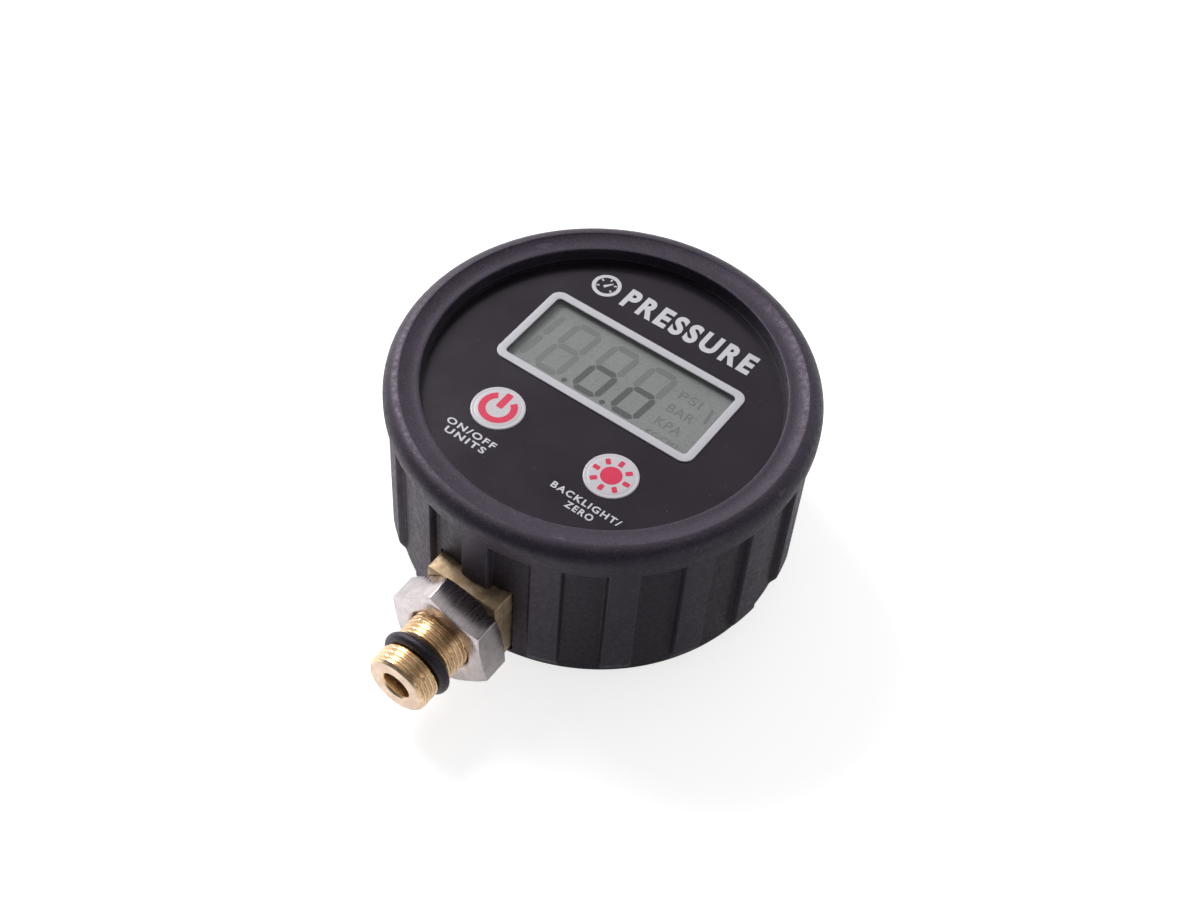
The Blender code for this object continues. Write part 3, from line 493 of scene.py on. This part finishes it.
LOOKS = {
    "boot_rubber": rubber_look(
        "boot_rubber",
        dark=(0.0202, 0.0165, 0.0256),
        light=(0.0268, 0.0223, 0.0336),
        grain=3.6,
        roughness=0.47,
        gloss=0.46,
        pocket_shade=True,
    ),
    "zebra_rubber": rubber_look(
        "zebra_rubber", (0.20, 0.20, 0.21), (0.32, 0.32, 0.33), grain=6.0, roughness=0.62, gloss=0.40
    ),
    "seal_rubber": rubber_look(
        "seal_rubber", (0.008, 0.008, 0.010), (0.012, 0.012, 0.014), grain=10.0, roughness=0.34, gloss=0.45
    ),
    "case_plastic": plastic_look(
        "case_plastic", (0.010, 0.010, 0.011), (0.018, 0.017, 0.020), grain=5.0, depth=0.05, roughness=0.50
    ),
    "white_plastic": plastic_look(
        "white_plastic", (0.62, 0.61, 0.58), (0.72, 0.71, 0.68), grain=4.0, depth=0.02, roughness=0.45
    ),
    "chip_black": plastic_look(
        "chip_black", (0.010, 0.010, 0.010), (0.020, 0.020, 0.020), grain=8.0, depth=0.02, roughness=0.45
    ),
    "cable_sleeve": plastic_look(
        "cable_sleeve", (0.22, 0.02, 0.02), (0.30, 0.04, 0.03), grain=5.0, depth=0.02, roughness=0.45
    ),
    "silver_trim": painted_look("silver_trim", (0.50, 0.50, 0.54), (0.60, 0.60, 0.64), roughness=0.36),
    "button_silver": painted_look("button_silver", (0.56, 0.55, 0.58), (0.64, 0.63, 0.66), roughness=0.30),
    "print_white": painted_look("print_white", (0.56, 0.56, 0.60), (0.66, 0.66, 0.70), roughness=0.45),
    "print_red": painted_look("print_red", (0.66, 0.020, 0.075), (0.76, 0.030, 0.095), roughness=0.35),
    "ghost_faint": painted_look("ghost_faint", (0.185, 0.190, 0.195), (0.205, 0.211, 0.214), roughness=0.45),
    "ghost_dark": painted_look("ghost_dark", (0.068, 0.073, 0.078), (0.092, 0.097, 0.102), roughness=0.45),
    "brass": metal_look(
        "brass",
        (0.78, 0.54, 0.32),
        (0.97, 0.76, 0.50),
        roughness=0.29,
        lines=(0.8, 5.0, 0.8),
        line_depth=0.012,
        nick=0.8,
    ),
    "brass_block": metal_look(
        "brass_block",
        (0.36, 0.255, 0.15),
        (0.68, 0.53, 0.36),
        roughness=0.50,
        lines=(4.0, 0.35, 4.0),
        line_depth=0.04,
        nick=0.9,
        metallic=0.85,
    ),
    "brass_face": metal_look(
        "brass_face",
        (0.66, 0.50, 0.38),
        (0.80, 0.64, 0.50),
        roughness=0.42,
        lines=(2.0, 2.0, 2.0),
        line_depth=0.02,
        nick=0.6,
    ),
    "nickel": metal_look(
        "nickel",
        (0.54, 0.485, 0.49),
        (0.68, 0.62, 0.625),
        roughness=0.25,
        lines=(7.0, 0.2, 7.0),
        line_depth=0.03,
        nick=0.25,
    ),
    "steel": metal_look(
        "steel", (0.36, 0.36, 0.37), (0.52, 0.52, 0.53), 0.30, lines=(4.0, 4.0, 1.0), line_depth=0.01
    ),
    "face_gloss": face_look(),
    "clear_window": clear_look(),
    "lcd_glass": lcd_look(),
    "board_laminate": board_look(),
    "cell_jacket": cell_look(),
}


# ---- boot


def boot_section(rib):
    """The closed outline of the boot where the wall stands out by rib, from 0 between ribs to 1 on one."""

    def wall(height):
        top = eased(height, POCKET_TOP[1], POCKET_TOP[0])
        foot = eased(height, *RIB_FADE)
        return WALL_RADIUS + RIB_RISE * foot * max(rib, top)

    points = [(LIP_RADIUS, z) for z in (LIP_FOOT, 35.4, 36.2, 36.8)]
    points += arc((LIP_RADIUS + LIP_ROUND, LIP_EDGE), LIP_ROUND, 180, 100, 5)
    ridge, crest = RIDGE
    band_low, band_high = LIP_EDGE + LIP_ROUND, crest - 0.08
    band_width = ridge - 0.12 - BAND_EDGE
    for step in range(1, 13):
        share = step / 12
        points.append((BAND_EDGE + band_width * share, band_low + (band_high - band_low) * share**2.3))
    points.append((ridge - 0.05, crest - 0.02))
    across, up = RIM_RADIUS - ridge, crest - BEAD_FOOT
    for step in range(25):
        angle = math.radians(90 - 90 * step / 24)
        points.append((ridge + across * math.cos(angle), BEAD_FOOT + up * math.sin(angle)))
    points += [(RIM_RADIUS, z) for z in (34.8, 34.4, 34.0)]
    points += arc((RIM_RADIUS - 0.3, SKIRT_FOOT + 0.3), 0.3, 0, -90, 4)[1:]
    reach = WALL_RADIUS + RIB_RISE
    points += [(reach + 0.2, SKIRT_FOOT), (reach + 0.03, SKIRT_FOOT - 0.08), (reach, SKIRT_FOOT - 0.25)]
    heights = [33.0, 32.4, 32.0, 31.9, 31.83, 31.76, 31.69, 31.62, 31.55, 31.48, 31.41, 31.35]
    heights += [31.0, 28.0, 20.0, 14.0, 8.0, 4.8, 4.3, 3.8, 3.3, 2.8, 2.3, 1.9, 1.6]
    points += [(wall(z), z) for z in heights]
    points += arc((WALL_RADIUS - FOOT_ROUND, FOOT_ROUND), FOOT_ROUND, 0, -90, 8)
    lip, thick = BACK_LIP
    points += [(lip + 1.2, 0.0)]
    points += arc((lip + 0.3, 0.3), 0.3, -90, -180, 3)
    points += [(lip, thick - 0.2), (lip + 0.2, thick), (BOOT_BORE, thick), (BOOT_BORE, 10.0)]
    points += [(BOOT_BORE, 22.0), (BOOT_BORE, LIP_FOOT)]
    return points


def make_boot():
    """The ribbed boot. Sections stand round the axis, closest together on the flanks of the ribs."""
    pitch = math.tau * RIB_RADIUS_MID / RIB_COUNT
    half = [0.0, 0.9, 1.8, 2.4, 2.5, 2.57, 2.64, 2.71, 2.78, 2.85, 2.92, 2.99, 3.06, 3.15, 3.5, 4.4, 5.5]
    offsets = sorted({-d for d in half} | set(half) | {pitch / 2 - 0.001})
    rings = []
    for rib in range(RIB_COUNT):
        middle = -90 + RIB_TURN + rib * 360 / RIB_COUNT
        for offset in offsets:
            angle = math.radians(middle) + offset / RIB_RADIUS_MID
            section = boot_section(1.0 - eased(abs(offset), RIB_TOP_HALF, RIB_FOOT_HALF))
            rings.append([(r * math.cos(angle), r * math.sin(angle), z) for r, z in section])
    boot = mesh_of("rubber_boot_skin", lofted(rings, close_rings=True))
    port = cutter_box((-PORT_HALF, -60.0, PORT_Z[0]), (PORT_HALF, -30.0, PORT_Z[1]))
    bevel(port, 0.5, 3)
    combine(boot, port)
    settle(boot, port, smooth=50)
    place(boot, LOOKS["boot_rubber"], ROOT, "boot_rubber", "rubber_boot")


# ---- face


def make_face():
    """The glossy overlay, with holes for the window and both buttons."""
    low = FACE_TOP - FACE_DEPTH
    profile = [(0.02, low), (FACE_RADIUS, low), (FACE_RADIUS, FACE_TOP), (0.02, FACE_TOP)]
    panel = turned("face_overlay", profile, 180)
    half_x, half_y = LENS_SIZE[0] / 2 + 0.1, LENS_SIZE[1] / 2 + 0.1
    reach = (low - 1, FACE_TOP + 1)
    cutters = [slab("cutter", rounded_rect(half_x, half_y, 1.0, (0, DISPLAY_Y)), *reach)]
    for side in (-1, 1):
        cutters.append(cutter_round(BUTTON_RADIUS + 0.1, *reach, (side * BUTTON_X, BUTTON_Y), 96))
    for cutter in cutters:
        combine(panel, cutter)
    bevel(panel, 0.06, 2)
    settle(panel, *cutters, smooth=0)
    place(panel, LOOKS["face_gloss"], ROOT, "face_gloss", "face_panel")


def ring_loft(name, outer, inner, low, high, edge):
    """A flat frame between two outlines of equally many points, its top edges rounded."""

    def moved(outline, away):
        """The outline moved in or out along its normals."""
        points = []
        for index, (x, y) in enumerate(outline):
            before, after = Vector(outline[index - 1]), Vector(outline[(index + 1) % len(outline)])
            along = (after - before).normalized()
            points.append((x + along.y * away, y - along.x * away))
        return points

    def ring(outline, height):
        return [(x, y, height) for x, y in outline]

    rings = [ring(inner, low), ring(outer, low)]
    for turn in range(5):
        angle = math.radians(90 * turn / 4)
        rings.append(ring(moved(outer, -edge * (1 - math.cos(angle))), high - edge * (1 - math.sin(angle))))
    for turn in range(5):
        angle = math.radians(90 - 90 * turn / 4)
        rings.append(ring(moved(inner, edge * (1 - math.cos(angle))), high - edge * (1 - math.sin(angle))))
    return mesh_of(name, lofted(rings, close_rings=True), 60)


def make_frame():
    """The display's raised silver surround."""
    half_x, half_y = FRAME_SIZE[0] / 2, FRAME_SIZE[1] / 2
    outer = rounded_rect(half_x, half_y, 2.1, (0, DISPLAY_Y), 12)
    inner = rounded_rect(half_x - FRAME_BAND, half_y - FRAME_BAND, 0.8, (0, DISPLAY_Y), 12)
    piece = ring_loft("silver_window_frame", outer, inner, FACE_TOP + 0.02, FACE_TOP + 0.27, 0.10)
    place(piece, LOOKS["silver_trim"], ROOT, "silver_trim", "window_frame")


def lettering(name, words, height, centre, base, look, slot, width=None, weight=0.0, spacing=1.0):
    """Plain capitals as a thin layer of ink. With a width, the line is stretched or squeezed to it."""
    text = bpy.data.curves.new(name, "FONT")
    text.body = words
    text.align_x = "CENTER"
    text.align_y = "CENTER"
    text.size = 1.0
    text.space_character = spacing
    text.offset = weight
    text.extrude = 0.01
    text.resolution_u = 6
    source = bpy.data.objects.new(name, text)
    bpy.context.scene.collection.objects.link(source)
    graph = bpy.context.evaluated_depsgraph_get()
    graph.update()
    mesh = bpy.data.meshes.new_from_object(source.evaluated_get(graph))
    bpy.data.objects.remove(source, do_unlink=True)
    shape = bmesh.new()
    shape.from_mesh(mesh)
    bpy.data.meshes.remove(mesh)
    bmesh.ops.remove_doubles(shape, verts=shape.verts, dist=1e-5)
    lows = [min(v.co[i] for v in shape.verts) for i in range(3)]
    highs = [max(v.co[i] for v in shape.verts) for i in range(3)]
    tall = height / (highs[1] - lows[1])
    wide = width / (highs[0] - lows[0]) if width else tall
    middle = [(a + b) / 2 for a, b in zip(lows, highs)]
    for vert in shape.verts:
        vert.co.x = centre[0] + (vert.co.x - middle[0]) * wide
        vert.co.y = centre[1] + (vert.co.y - middle[1]) * tall
        vert.co.z = base + (PRINT_DEPTH if vert.co.z > middle[2] else 0.0)
    return place(mesh_of(name, shape, 0), look, ROOT, slot)


def make_dial_mark(base, look):
    """A plain dial with a pointer, beside the title."""
    shape = bmesh.new()
    top = base + PRINT_DEPTH
    add_strip(shape, arc((0, 0), 2.8, 0, 360, 64), arc((0, 0), 2.05, 0, 360, 64), base, top)
    for angle in (210, 150, 90, 30, -30):
        turn = math.radians(angle)
        tick = rounded_rect(0.28, 0.17, 0.05, (1.62, 0), 2)
        add_prism(shape, turned_points(tick, turn), base, top)
    pointer = [(-0.6, -0.32), (1.4, -0.12), (1.4, 0.12), (-0.6, 0.32)]
    add_prism(shape, turned_points(pointer, math.radians(55)), base, top)
    bmesh.ops.recalc_face_normals(shape, faces=shape.faces)
    mark = mesh_of("print_dial_mark", shape, 0)
    mark.data.transform(Matrix.Translation((-14.6 * MM, 21.5 * MM, 0)))
    place(mark, look, ROOT, "silver_trim")


def turned_points(points, angle):
    """Points turned about the origin."""
    sine, cosine = math.sin(angle), math.cos(angle)
    return [(x * cosine - y * sine, x * sine + y * cosine) for x, y in points]


def add_prism(shape, outline, low, high):
    """A thin closed patch of ink between two heights."""
    rows = [[shape.verts.new((x, y, height)) for x, y in outline] for height in (low, high)]
    shape.faces.new(rows[0][::-1])
    shape.faces.new(rows[1])
    for index in range(len(outline)):
        after = (index + 1) % len(outline)
        shape.faces.new((rows[0][index], rows[0][after], rows[1][after], rows[1][index]))


def add_strip(shape, outer, inner, low, high):
    """A thin closed strip between two lines of equally many points, its ends square unless they meet."""
    lines = ((outer, low), (outer, high), (inner, high), (inner, low))
    whole = math.dist(outer[0], outer[-1]) < 1e-6
    if whole:
        lines = [(line[:-1], height) for line, height in lines]
    grid = [[shape.verts.new((x, y, z)) for x, y in line] for line, z in lines]
    count = len(grid[0])
    for side in range(4):
        first, second = grid[side], grid[(side + 1) % 4]
        for index in range(count if whole else count - 1):
            after = (index + 1) % count
            shape.faces.new((first[index], first[after], second[after], second[index]))
    if not whole:
        for index in (0, -1):
            shape.faces.new([line[index] for line in grid])


def make_lettering():
    """The title and legends: generic words for what the gauge and its buttons do."""
    base = FACE_TOP - 0.005
    look = LOOKS["print_white"]
    lettering("print_title", "PRESSURE", 5.0, (3.9, 21.5), base, look, "silver_trim", 28.2, 0.045, 1.3)
    make_dial_mark(base, look)
    small = (
        ("print_power_1", "ON/OFF", -BUTTON_X - 0.3, -21.9, 10.4),
        ("print_power_2", "UNITS", -BUTTON_X - 0.2, -23.8, 8.6),
        ("print_light_1", "BACKLIGHT/", BUTTON_X, -22.1, 14.2),
        ("print_light_2", "ZERO", BUTTON_X, -24.1, 5.6),
    )
    for name, words, x, y, width in small:
        lettering(name, words, 1.42, (x, y), base, look, "silver_trim", width, 0.028, 1.25)


# ---- display


SEGMENTS = {  # centre and direction of each bar, in halves of the digit's width and height
    "a": ((0, 2), "flat"),
    "g": ((0, 0), "flat"),
    "d": ((0, -2), "flat"),
    "f": ((-1, 1), "up"),
    "b": ((1, 1), "up"),
    "e": ((-1, -1), "up"),
    "c": ((1, -1), "up"),
}
DIGIT_HALF = (2.4, 3.1)
BAR_HALF = 0.62
SLANT = 0.085


def add_bar(shape, x, y, direction, origin, low, high):
    """One mitred bar of a digit."""
    half_x, half_y = DIGIT_HALF
    length = (half_x if direction == "flat" else half_y) - 0.14
    tip = [(-length, 0), (-length + BAR_HALF, BAR_HALF), (length - BAR_HALF, BAR_HALF)]
    outline = tip + [(length, 0), (length - BAR_HALF, -BAR_HALF), (-length + BAR_HALF, -BAR_HALF)]
    if direction == "up":
        outline = [(-b, a) for a, b in outline]
    add_patch(shape, [(x * half_x + a, y * half_y + b) for a, b in outline], origin, low, high)


def add_patch(shape, outline, origin, low, high):
    """A thin closed patch of ink, leaning with the display's slant."""
    leaning = [(origin[0] + x + SLANT * y, origin[1] + y) for x, y in outline]
    add_prism(shape, leaning, low, high)


def make_display():
    """Digits, points and unit names in two strengths of grey under the window."""
    base = LCD_TOP + 0.004
    top = base + 0.02
    faint, dark = bmesh.new(), bmesh.new()
    for middle, lower in ((-11.3, faint), (-2.85, dark), (5.45, dark)):
        for (x, y), direction in SEGMENTS.values():
            add_bar(lower if y <= 0 else faint, x, y, direction, (middle, 5.0), base, top)
    for y in (1, -1):
        add_bar(faint, 0, y, "up", (-17.1, 5.0), base, top)
    for x in (-7.6, 0.75):
        add_patch(dark, arc((0, 0), 0.55, 0, 337.5, 15), (x, -1.35), base, top)
    wedge = [(0.0, 1.9), (0.75, 1.5), (1.35, -1.7), (0.85, -1.9)]
    add_patch(faint, wedge, (16.9, 7.6), base, top)
    for name, shape in (("faint", faint), ("dark", dark)):
        bmesh.ops.recalc_face_normals(shape, faces=shape.faces)
        place(mesh_of(f"display_segments_{name}", shape, 0), LOOKS[f"ghost_{name}"], ROOT, "lcd_glass")
    units = (
        ("PSI", 8.85, 2.0, 4.6),
        ("BAR", 5.1, 2.0, 5.3),
        ("KPA", 1.35, 2.0, 5.2),
        ("KG/CM2", -1.75, 1.2, 6.6),
    )
    for words, y, height, width in units:
        name = "display_unit_" + words.lower().replace("/", "_")
        x = 10.6 + width / 2
        lettering(name, words, height, (x, y), base, LOOKS["ghost_faint"], "lcd_glass", width, 0.0, 1.1)


# ---- buttons


INK = (BUTTON_TOP - 0.02, BUTTON_TOP + 0.015)


def power_mark(shape):
    """A ring open at the top, and a bar in the opening."""
    start, end = 90 + 36, 450 - 36
    add_strip(shape, arc((0, 0), 3.5, start, end, 48), arc((0, 0), 2.2, start, end, 48), *INK)
    add_prism(shape, rounded_rect(0.68, 1.85, 0.3, (0, 1.95), 4), *INK)


def light_mark(shape):
    """A filled disc with eight rays."""
    add_prism(shape, arc((0, 0), 1.95, 0, 352.5, 47), *INK)
    ray = rounded_rect(0.66, 0.46, 0.25, (3.1, 0), 4)
    for turn in range(8):
        add_prism(shape, turned_points(ray, turn * math.tau / 8), *INK)


def make_button(name, side, mark):
    """A round button with a shallow groove near its edge, and its mark in ink."""
    body = f"{name}_button"
    radius = BUTTON_RADIUS
    stem, foot = BUTTON_STEM
    flange, under, over = BUTTON_FLANGE
    profile = [
        (stem, foot),
        (stem, under),
        (flange, under),
        (flange, over),
        (radius, over),
        (radius, BUTTON_TOP - 0.24),
        *arc((radius - 0.2, BUTTON_TOP - 0.22), 0.2, 0, 80, 6),
        (4.30, BUTTON_TOP - 0.035),
        (4.22, BUTTON_TOP - 0.055),
        (4.14, BUTTON_TOP - 0.030),
        (4.0, BUTTON_TOP - 0.004),
        (3.4, BUTTON_TOP),
        (0.02, BUTTON_TOP),
    ]
    shift = Matrix.Translation((side * BUTTON_X * MM, BUTTON_Y * MM, 0))
    cap = turned(f"{name}_button_cap", profile, 96)
    cap.data.transform(shift)
    place(cap, LOOKS["button_silver"], body, "button_silver", f"{name}_button")
    shape = bmesh.new()
    mark(shape)
    bmesh.ops.recalc_face_normals(shape, faces=shape.faces)
    symbol = mesh_of(f"{name}_button_mark", shape, 0)
    symbol.data.transform(shift)
    place(symbol, LOOKS["print_red"], body, "button_silver")


# ---- stem, nut and ring


def thread_radius(turn, along, nicks):
    """The stem's radius at an angle in turns and a distance along it: a thread with worn crests."""
    crest, root, pitch = THREAD
    whole = along / pitch + turn
    share = (whole % 1.0) - 0.5
    radius = crest - (crest - root) * eased(abs(share), *FLANK)
    for nick_turn, depth in nicks[int(whole) % len(nicks)]:
        gap = abs((turn - nick_turn + 0.5) % 1.0 - 0.5)
        radius -= depth * (1.0 - eased(gap, *NICK)) * (1.0 - eased(abs(share), *NICK_REACH))
    for edge, sign in ((STEM_TIP, 1), (GROOVE[2], -1), (GROOVE[1], 1)):
        gap = (edge - along) * sign
        if gap > -1e-6:
            radius = min(radius, root - 0.12 + max(gap, 0.0))
    return radius


def worn_spots():
    """For each turn of the thread, the places and depths of the nicks in its crest."""
    draw = random.Random(7)
    columns = (0.06, 0.115, 0.325, 0.60)
    return [
        [(column + draw.uniform(-0.012, 0.012), draw.uniform(0.0, 0.24)) for column in columns]
        for _ in range(17)
    ]


def make_stem():
    """The threaded stem with its groove, flat end and bore."""
    steps = 180
    groove_radius, groove_low, groove_high = GROOVE
    nicks = worn_spots()
    rows = []

    def row(along, radius=None):
        points = []
        for step in range(steps):
            angle = math.tau * step / steps
            r = radius if radius is not None else thread_radius(step / steps, along, nicks)
            points.append((r * math.cos(angle), r * math.sin(angle), along))
        rows.append(points)

    def threaded_rows(low, high):
        count = round((high - low) * 16)
        for index in range(count + 1):
            row(low + (high - low) * index / count)

    row(BLOCK[2] - 1.5, THREAD[1])
    threaded_rows(BLOCK[2] - 0.2, groove_low)
    row(groove_low, groove_radius + 0.15)
    row(groove_low + 0.15, groove_radius)
    row(groove_high - 0.15, groove_radius)
    row(groove_high, groove_radius + 0.15)
    threaded_rows(groove_high, STEM_TIP - 0.08)
    face_start = len(rows)
    row(STEM_TIP, THREAD[1] - 0.18)
    for radius in (5.0, 4.4, 3.8, 3.15):
        row(STEM_TIP, radius)
    face_end = len(rows)
    row(STEM_TIP - 0.08, 3.02)
    row(STEM_TIP - 0.35, BORE_RADIUS + 0.05)
    row(STEM_TIP - 0.5, BORE_RADIUS)
    for depth in (2.0, 4.0, 8.0, 14.0, 20.0, 28.0):
        row(STEM_TIP - depth, BORE_RADIUS)
    stem = along_stem(mesh_of("threaded_stem", lofted(rows), 50))
    place(stem, LOOKS["brass"], ROOT, "brass", "connector_block")
    stem.data.materials.append(LOOKS["brass_face"])
    for polygon in stem.data.polygons:
        if face_start - 1 <= polygon.index // steps < face_end:
            polygon.material_index = 1


def make_block():
    """The brass block behind the nut, scooped out where it meets the case."""
    half_x, half_z, front, back = BLOCK
    low = (-half_x, -front, STEM_HEIGHT - half_z)
    high = (half_x, -back, STEM_HEIGHT + half_z)
    block = cutter_box(low, high)
    block.name = "brass_block"
    cavity = along_stem(turned("cutter", [(6.3, back - 1.0), (6.3, 28.2)], 96))
    bore = along_stem(turned("cutter", [(BORE_RADIUS, 27.0), (BORE_RADIUS, 31.0)], 64))
    hole = THREAD[1] - 0.3
    stem_hole = along_stem(turned("cutter", [(hole, front - 1.3), (hole, front + 1.0)], 64))
    cutters = (cavity, bore, stem_hole)
    for cutter in cutters:
        combine(block, cutter)
    bevel(block, 0.3, 3)
    settle(block, *cutters)
    place(block, LOOKS["brass_block"], ROOT, "brass", "connector_block")


def make_nut():
    """The lock nut, chamfered on both faces."""
    flats, back, front = NUT
    corner = flats / 2 / math.cos(math.pi / 6)
    corners = []
    for index in range(6):
        angle = math.radians(NUT_TURN + 60 * index)
        corners.append((corner * math.cos(angle), corner * math.sin(angle)))
    nut = slab("hex_jam_nut", corners, back, front)
    bevel(nut, 0.22, 3, 50)
    settle(nut)
    flat = flats / 2 - 0.1
    wide = corner + 0.2
    chamfer = turned(
        "cutter",
        [
            (flat, back - 0.01),
            (wide, back + NUT_CHAMFER),
            (wide, front - NUT_CHAMFER),
            (flat, front + 0.01),
        ],
        192,
    )
    mouth, inside = NUT_MOUTH
    bore = turned(
        "cutter",
        [(mouth, back - 0.2), (inside, back + 0.55), (inside, front - 0.55), (mouth, front + 0.2)],
        128,
    )
    combine(nut, chamfer, "INTERSECT")
    combine(nut, bore)
    settle(nut, chamfer, bore, smooth=30)
    bevel(nut, 0.06, 2, 28)
    settle(nut, smooth=30)
    along_stem(nut)
    place(nut, LOOKS["nickel"], "jam_nut", "nickel", "jam_nut")


def make_ring():
    """The sealing ring in the stem's groove."""
    radius, along, section = RING
    ring = turned("rubber_o_ring", arc((radius, along), section, 0, 348.75, 31), 160, closed=True)
    along_stem(ring)
    place(ring, LOOKS["seal_rubber"], ROOT, "seal_rubber", "o_ring")


# ---- CAD nodes that keep their shape


def dress_nodes():
    """Gives every CAD node that stays in view its own material."""
    slots = {part["node"]: part["material_slot"] for part in frame["record"]["subparts"]}
    for name, obj in frame["nodes"].items():
        look = LOOKS.get(slots.get(name))
        if look is None or obj.type != "MESH":
            continue
        obj.data.materials.clear()
        obj.data.materials.append(look)


# ---- studio


CAMERA = {
    "azimuth": 33.266,
    "elevation": 51.228,
    "roll": 3.894,
    "distance": 351.85,
    "target": (-11.70, 7.28, 1.41),
    "lens": 53.84,
    "shift": (0.0278, 0.0002),
}  # degrees and millimetres
FLOOR_HALF = 1500.0
FLOOR_BRIGHT = (-0.55, 0.83, 0.0)  # the way across the floor in which it glows more
FLOOR_POOL = (-0.035, -0.095, 0.0)  # the middle of the glow beside the stem, in metres
SKY_BRIGHT = (-0.45, 0.89, 0.0)  # the way in which the sky is brightest


def make_camera():
    """The camera, aimed by its azimuth, elevation and roll about a target."""
    azimuth, elevation, roll = (math.radians(CAMERA[k]) for k in ("azimuth", "elevation", "roll"))
    level = math.cos(elevation)
    back = Vector((math.sin(azimuth) * level, -math.cos(azimuth) * level, math.sin(elevation)))
    right = (-back).cross(Vector((0, 0, 1))).normalized()
    up = right.cross(-back)
    turned_right = right * math.cos(roll) + up * math.sin(roll)
    turned_up = -right * math.sin(roll) + up * math.cos(roll)
    camera = bpy.data.objects.new("camera", bpy.data.cameras.new("camera"))
    bpy.context.scene.collection.objects.link(camera)
    matrix = Matrix((turned_right, turned_up, back)).transposed().to_4x4()
    matrix.translation = (Vector(CAMERA["target"]) + back * CAMERA["distance"]) * MM
    camera.matrix_world = matrix
    camera.data.lens = CAMERA["lens"]
    camera.data.sensor_width = 36.0
    camera.data.shift_x, camera.data.shift_y = CAMERA["shift"]
    camera.data.clip_start = 0.01
    camera.data.clip_end = 10.0
    bpy.context.scene.camera = camera


def area_light(name, place_mm, target_mm, size_mm, power, colour=(1.0, 1.0, 1.0)):
    """A rectangular light that faces its target."""
    light = bpy.data.lights.new(name, "AREA")
    light.shape = "RECTANGLE"
    light.size, light.size_y = size_mm[0] * MM, size_mm[1] * MM
    light.energy = power
    light.color = colour
    obj = bpy.data.objects.new(name, light)
    bpy.context.scene.collection.objects.link(obj)
    obj.location = Vector(place_mm) * MM
    aim = Vector(target_mm) - Vector(place_mm)
    obj.rotation_euler = aim.to_track_quat("-Z", "Y").to_euler()


def make_studio():
    """A pale floor that glows at the back left and by the stem, a soft room and two lights."""
    shape = bmesh.new()
    bmesh.ops.create_grid(shape, x_segments=1, y_segments=1, size=FLOOR_HALF)
    floor = mesh_of("floor", shape, 0)
    floor.location.z = -0.2 * MM
    look = Look("floor_paper", (0.62, 0.62, 0.62), 0.8, Specular_IOR_Level=0.1)
    look.set("Base Color", look.blend(look.noise(0.02, 2.0), (0.61, 0.61, 0.61), (0.63, 0.63, 0.63)))
    look.set("Emission Color", (1.0, 1.0, 1.0, 1.0))
    seen = look.times(look.camera_ray(), 0.75)
    bounce = look.band(look.vectors("DOT_PRODUCT", look.place, FLOOR_BRIGHT), -0.06, 0.12, 0.13, 0.85)
    pool = look.band(look.vectors("DISTANCE", look.place, FLOOR_POOL), 0.11, 0.02, 0.0, 0.9)
    look.set("Emission Strength", look.maths("MAXIMUM", seen, look.maths("MAXIMUM", bounce, pool)))
    floor.data.materials.append(look.material)
    make_sky()
    area_light("key", (-430, 120, 420), (0, 0, 15), (260, 260), power=3.0, colour=(1.0, 0.985, 0.99))
    area_light("fill", (420, -80, 110), (0, -20, 15), (300, 200), power=0.22)
    bpy.context.scene.view_settings.view_transform = "Standard"


def make_sky():
    """A soft room: brightest at the back left and overhead, dim towards the front right."""
    world = bpy.data.worlds.new("studio")
    bpy.context.scene.world = world
    world.use_nodes = True
    sky = Graph(world.node_tree, "Background")
    way = sky.add("ShaderNodeTexCoord").outputs["Generated"]
    facing = sky.vectors("DOT_PRODUCT", way, SKY_BRIGHT)
    height = sky.add("ShaderNodeSeparateXYZ", {0: way}).outputs["Z"]
    side = sky.times(sky.band(facing, -0.3, 0.75, 0.13, 1.05), sky.band(height, 0.35, 0.85, 1.0, 0.5))
    strength = sky.maths("ADD", side, sky.band(height, 0.90, 0.98, 0.0, 0.55))
    mix = sky.add("ShaderNodeMix", {0: sky.camera_ray(), 2: strength, 3: 1.0})
    sky.set("Strength", mix.outputs[0])
    sky.set("Color", (1.0, 0.985, 1.0, 1.0))


make_camera()
dress_nodes()
make_boot()
make_face()
make_frame()
make_lettering()
make_display()
make_button("power", -1, power_mark)
make_button("light", 1, light_mark)
make_stem()
make_block()
make_nut()
make_ring()
make_studio()
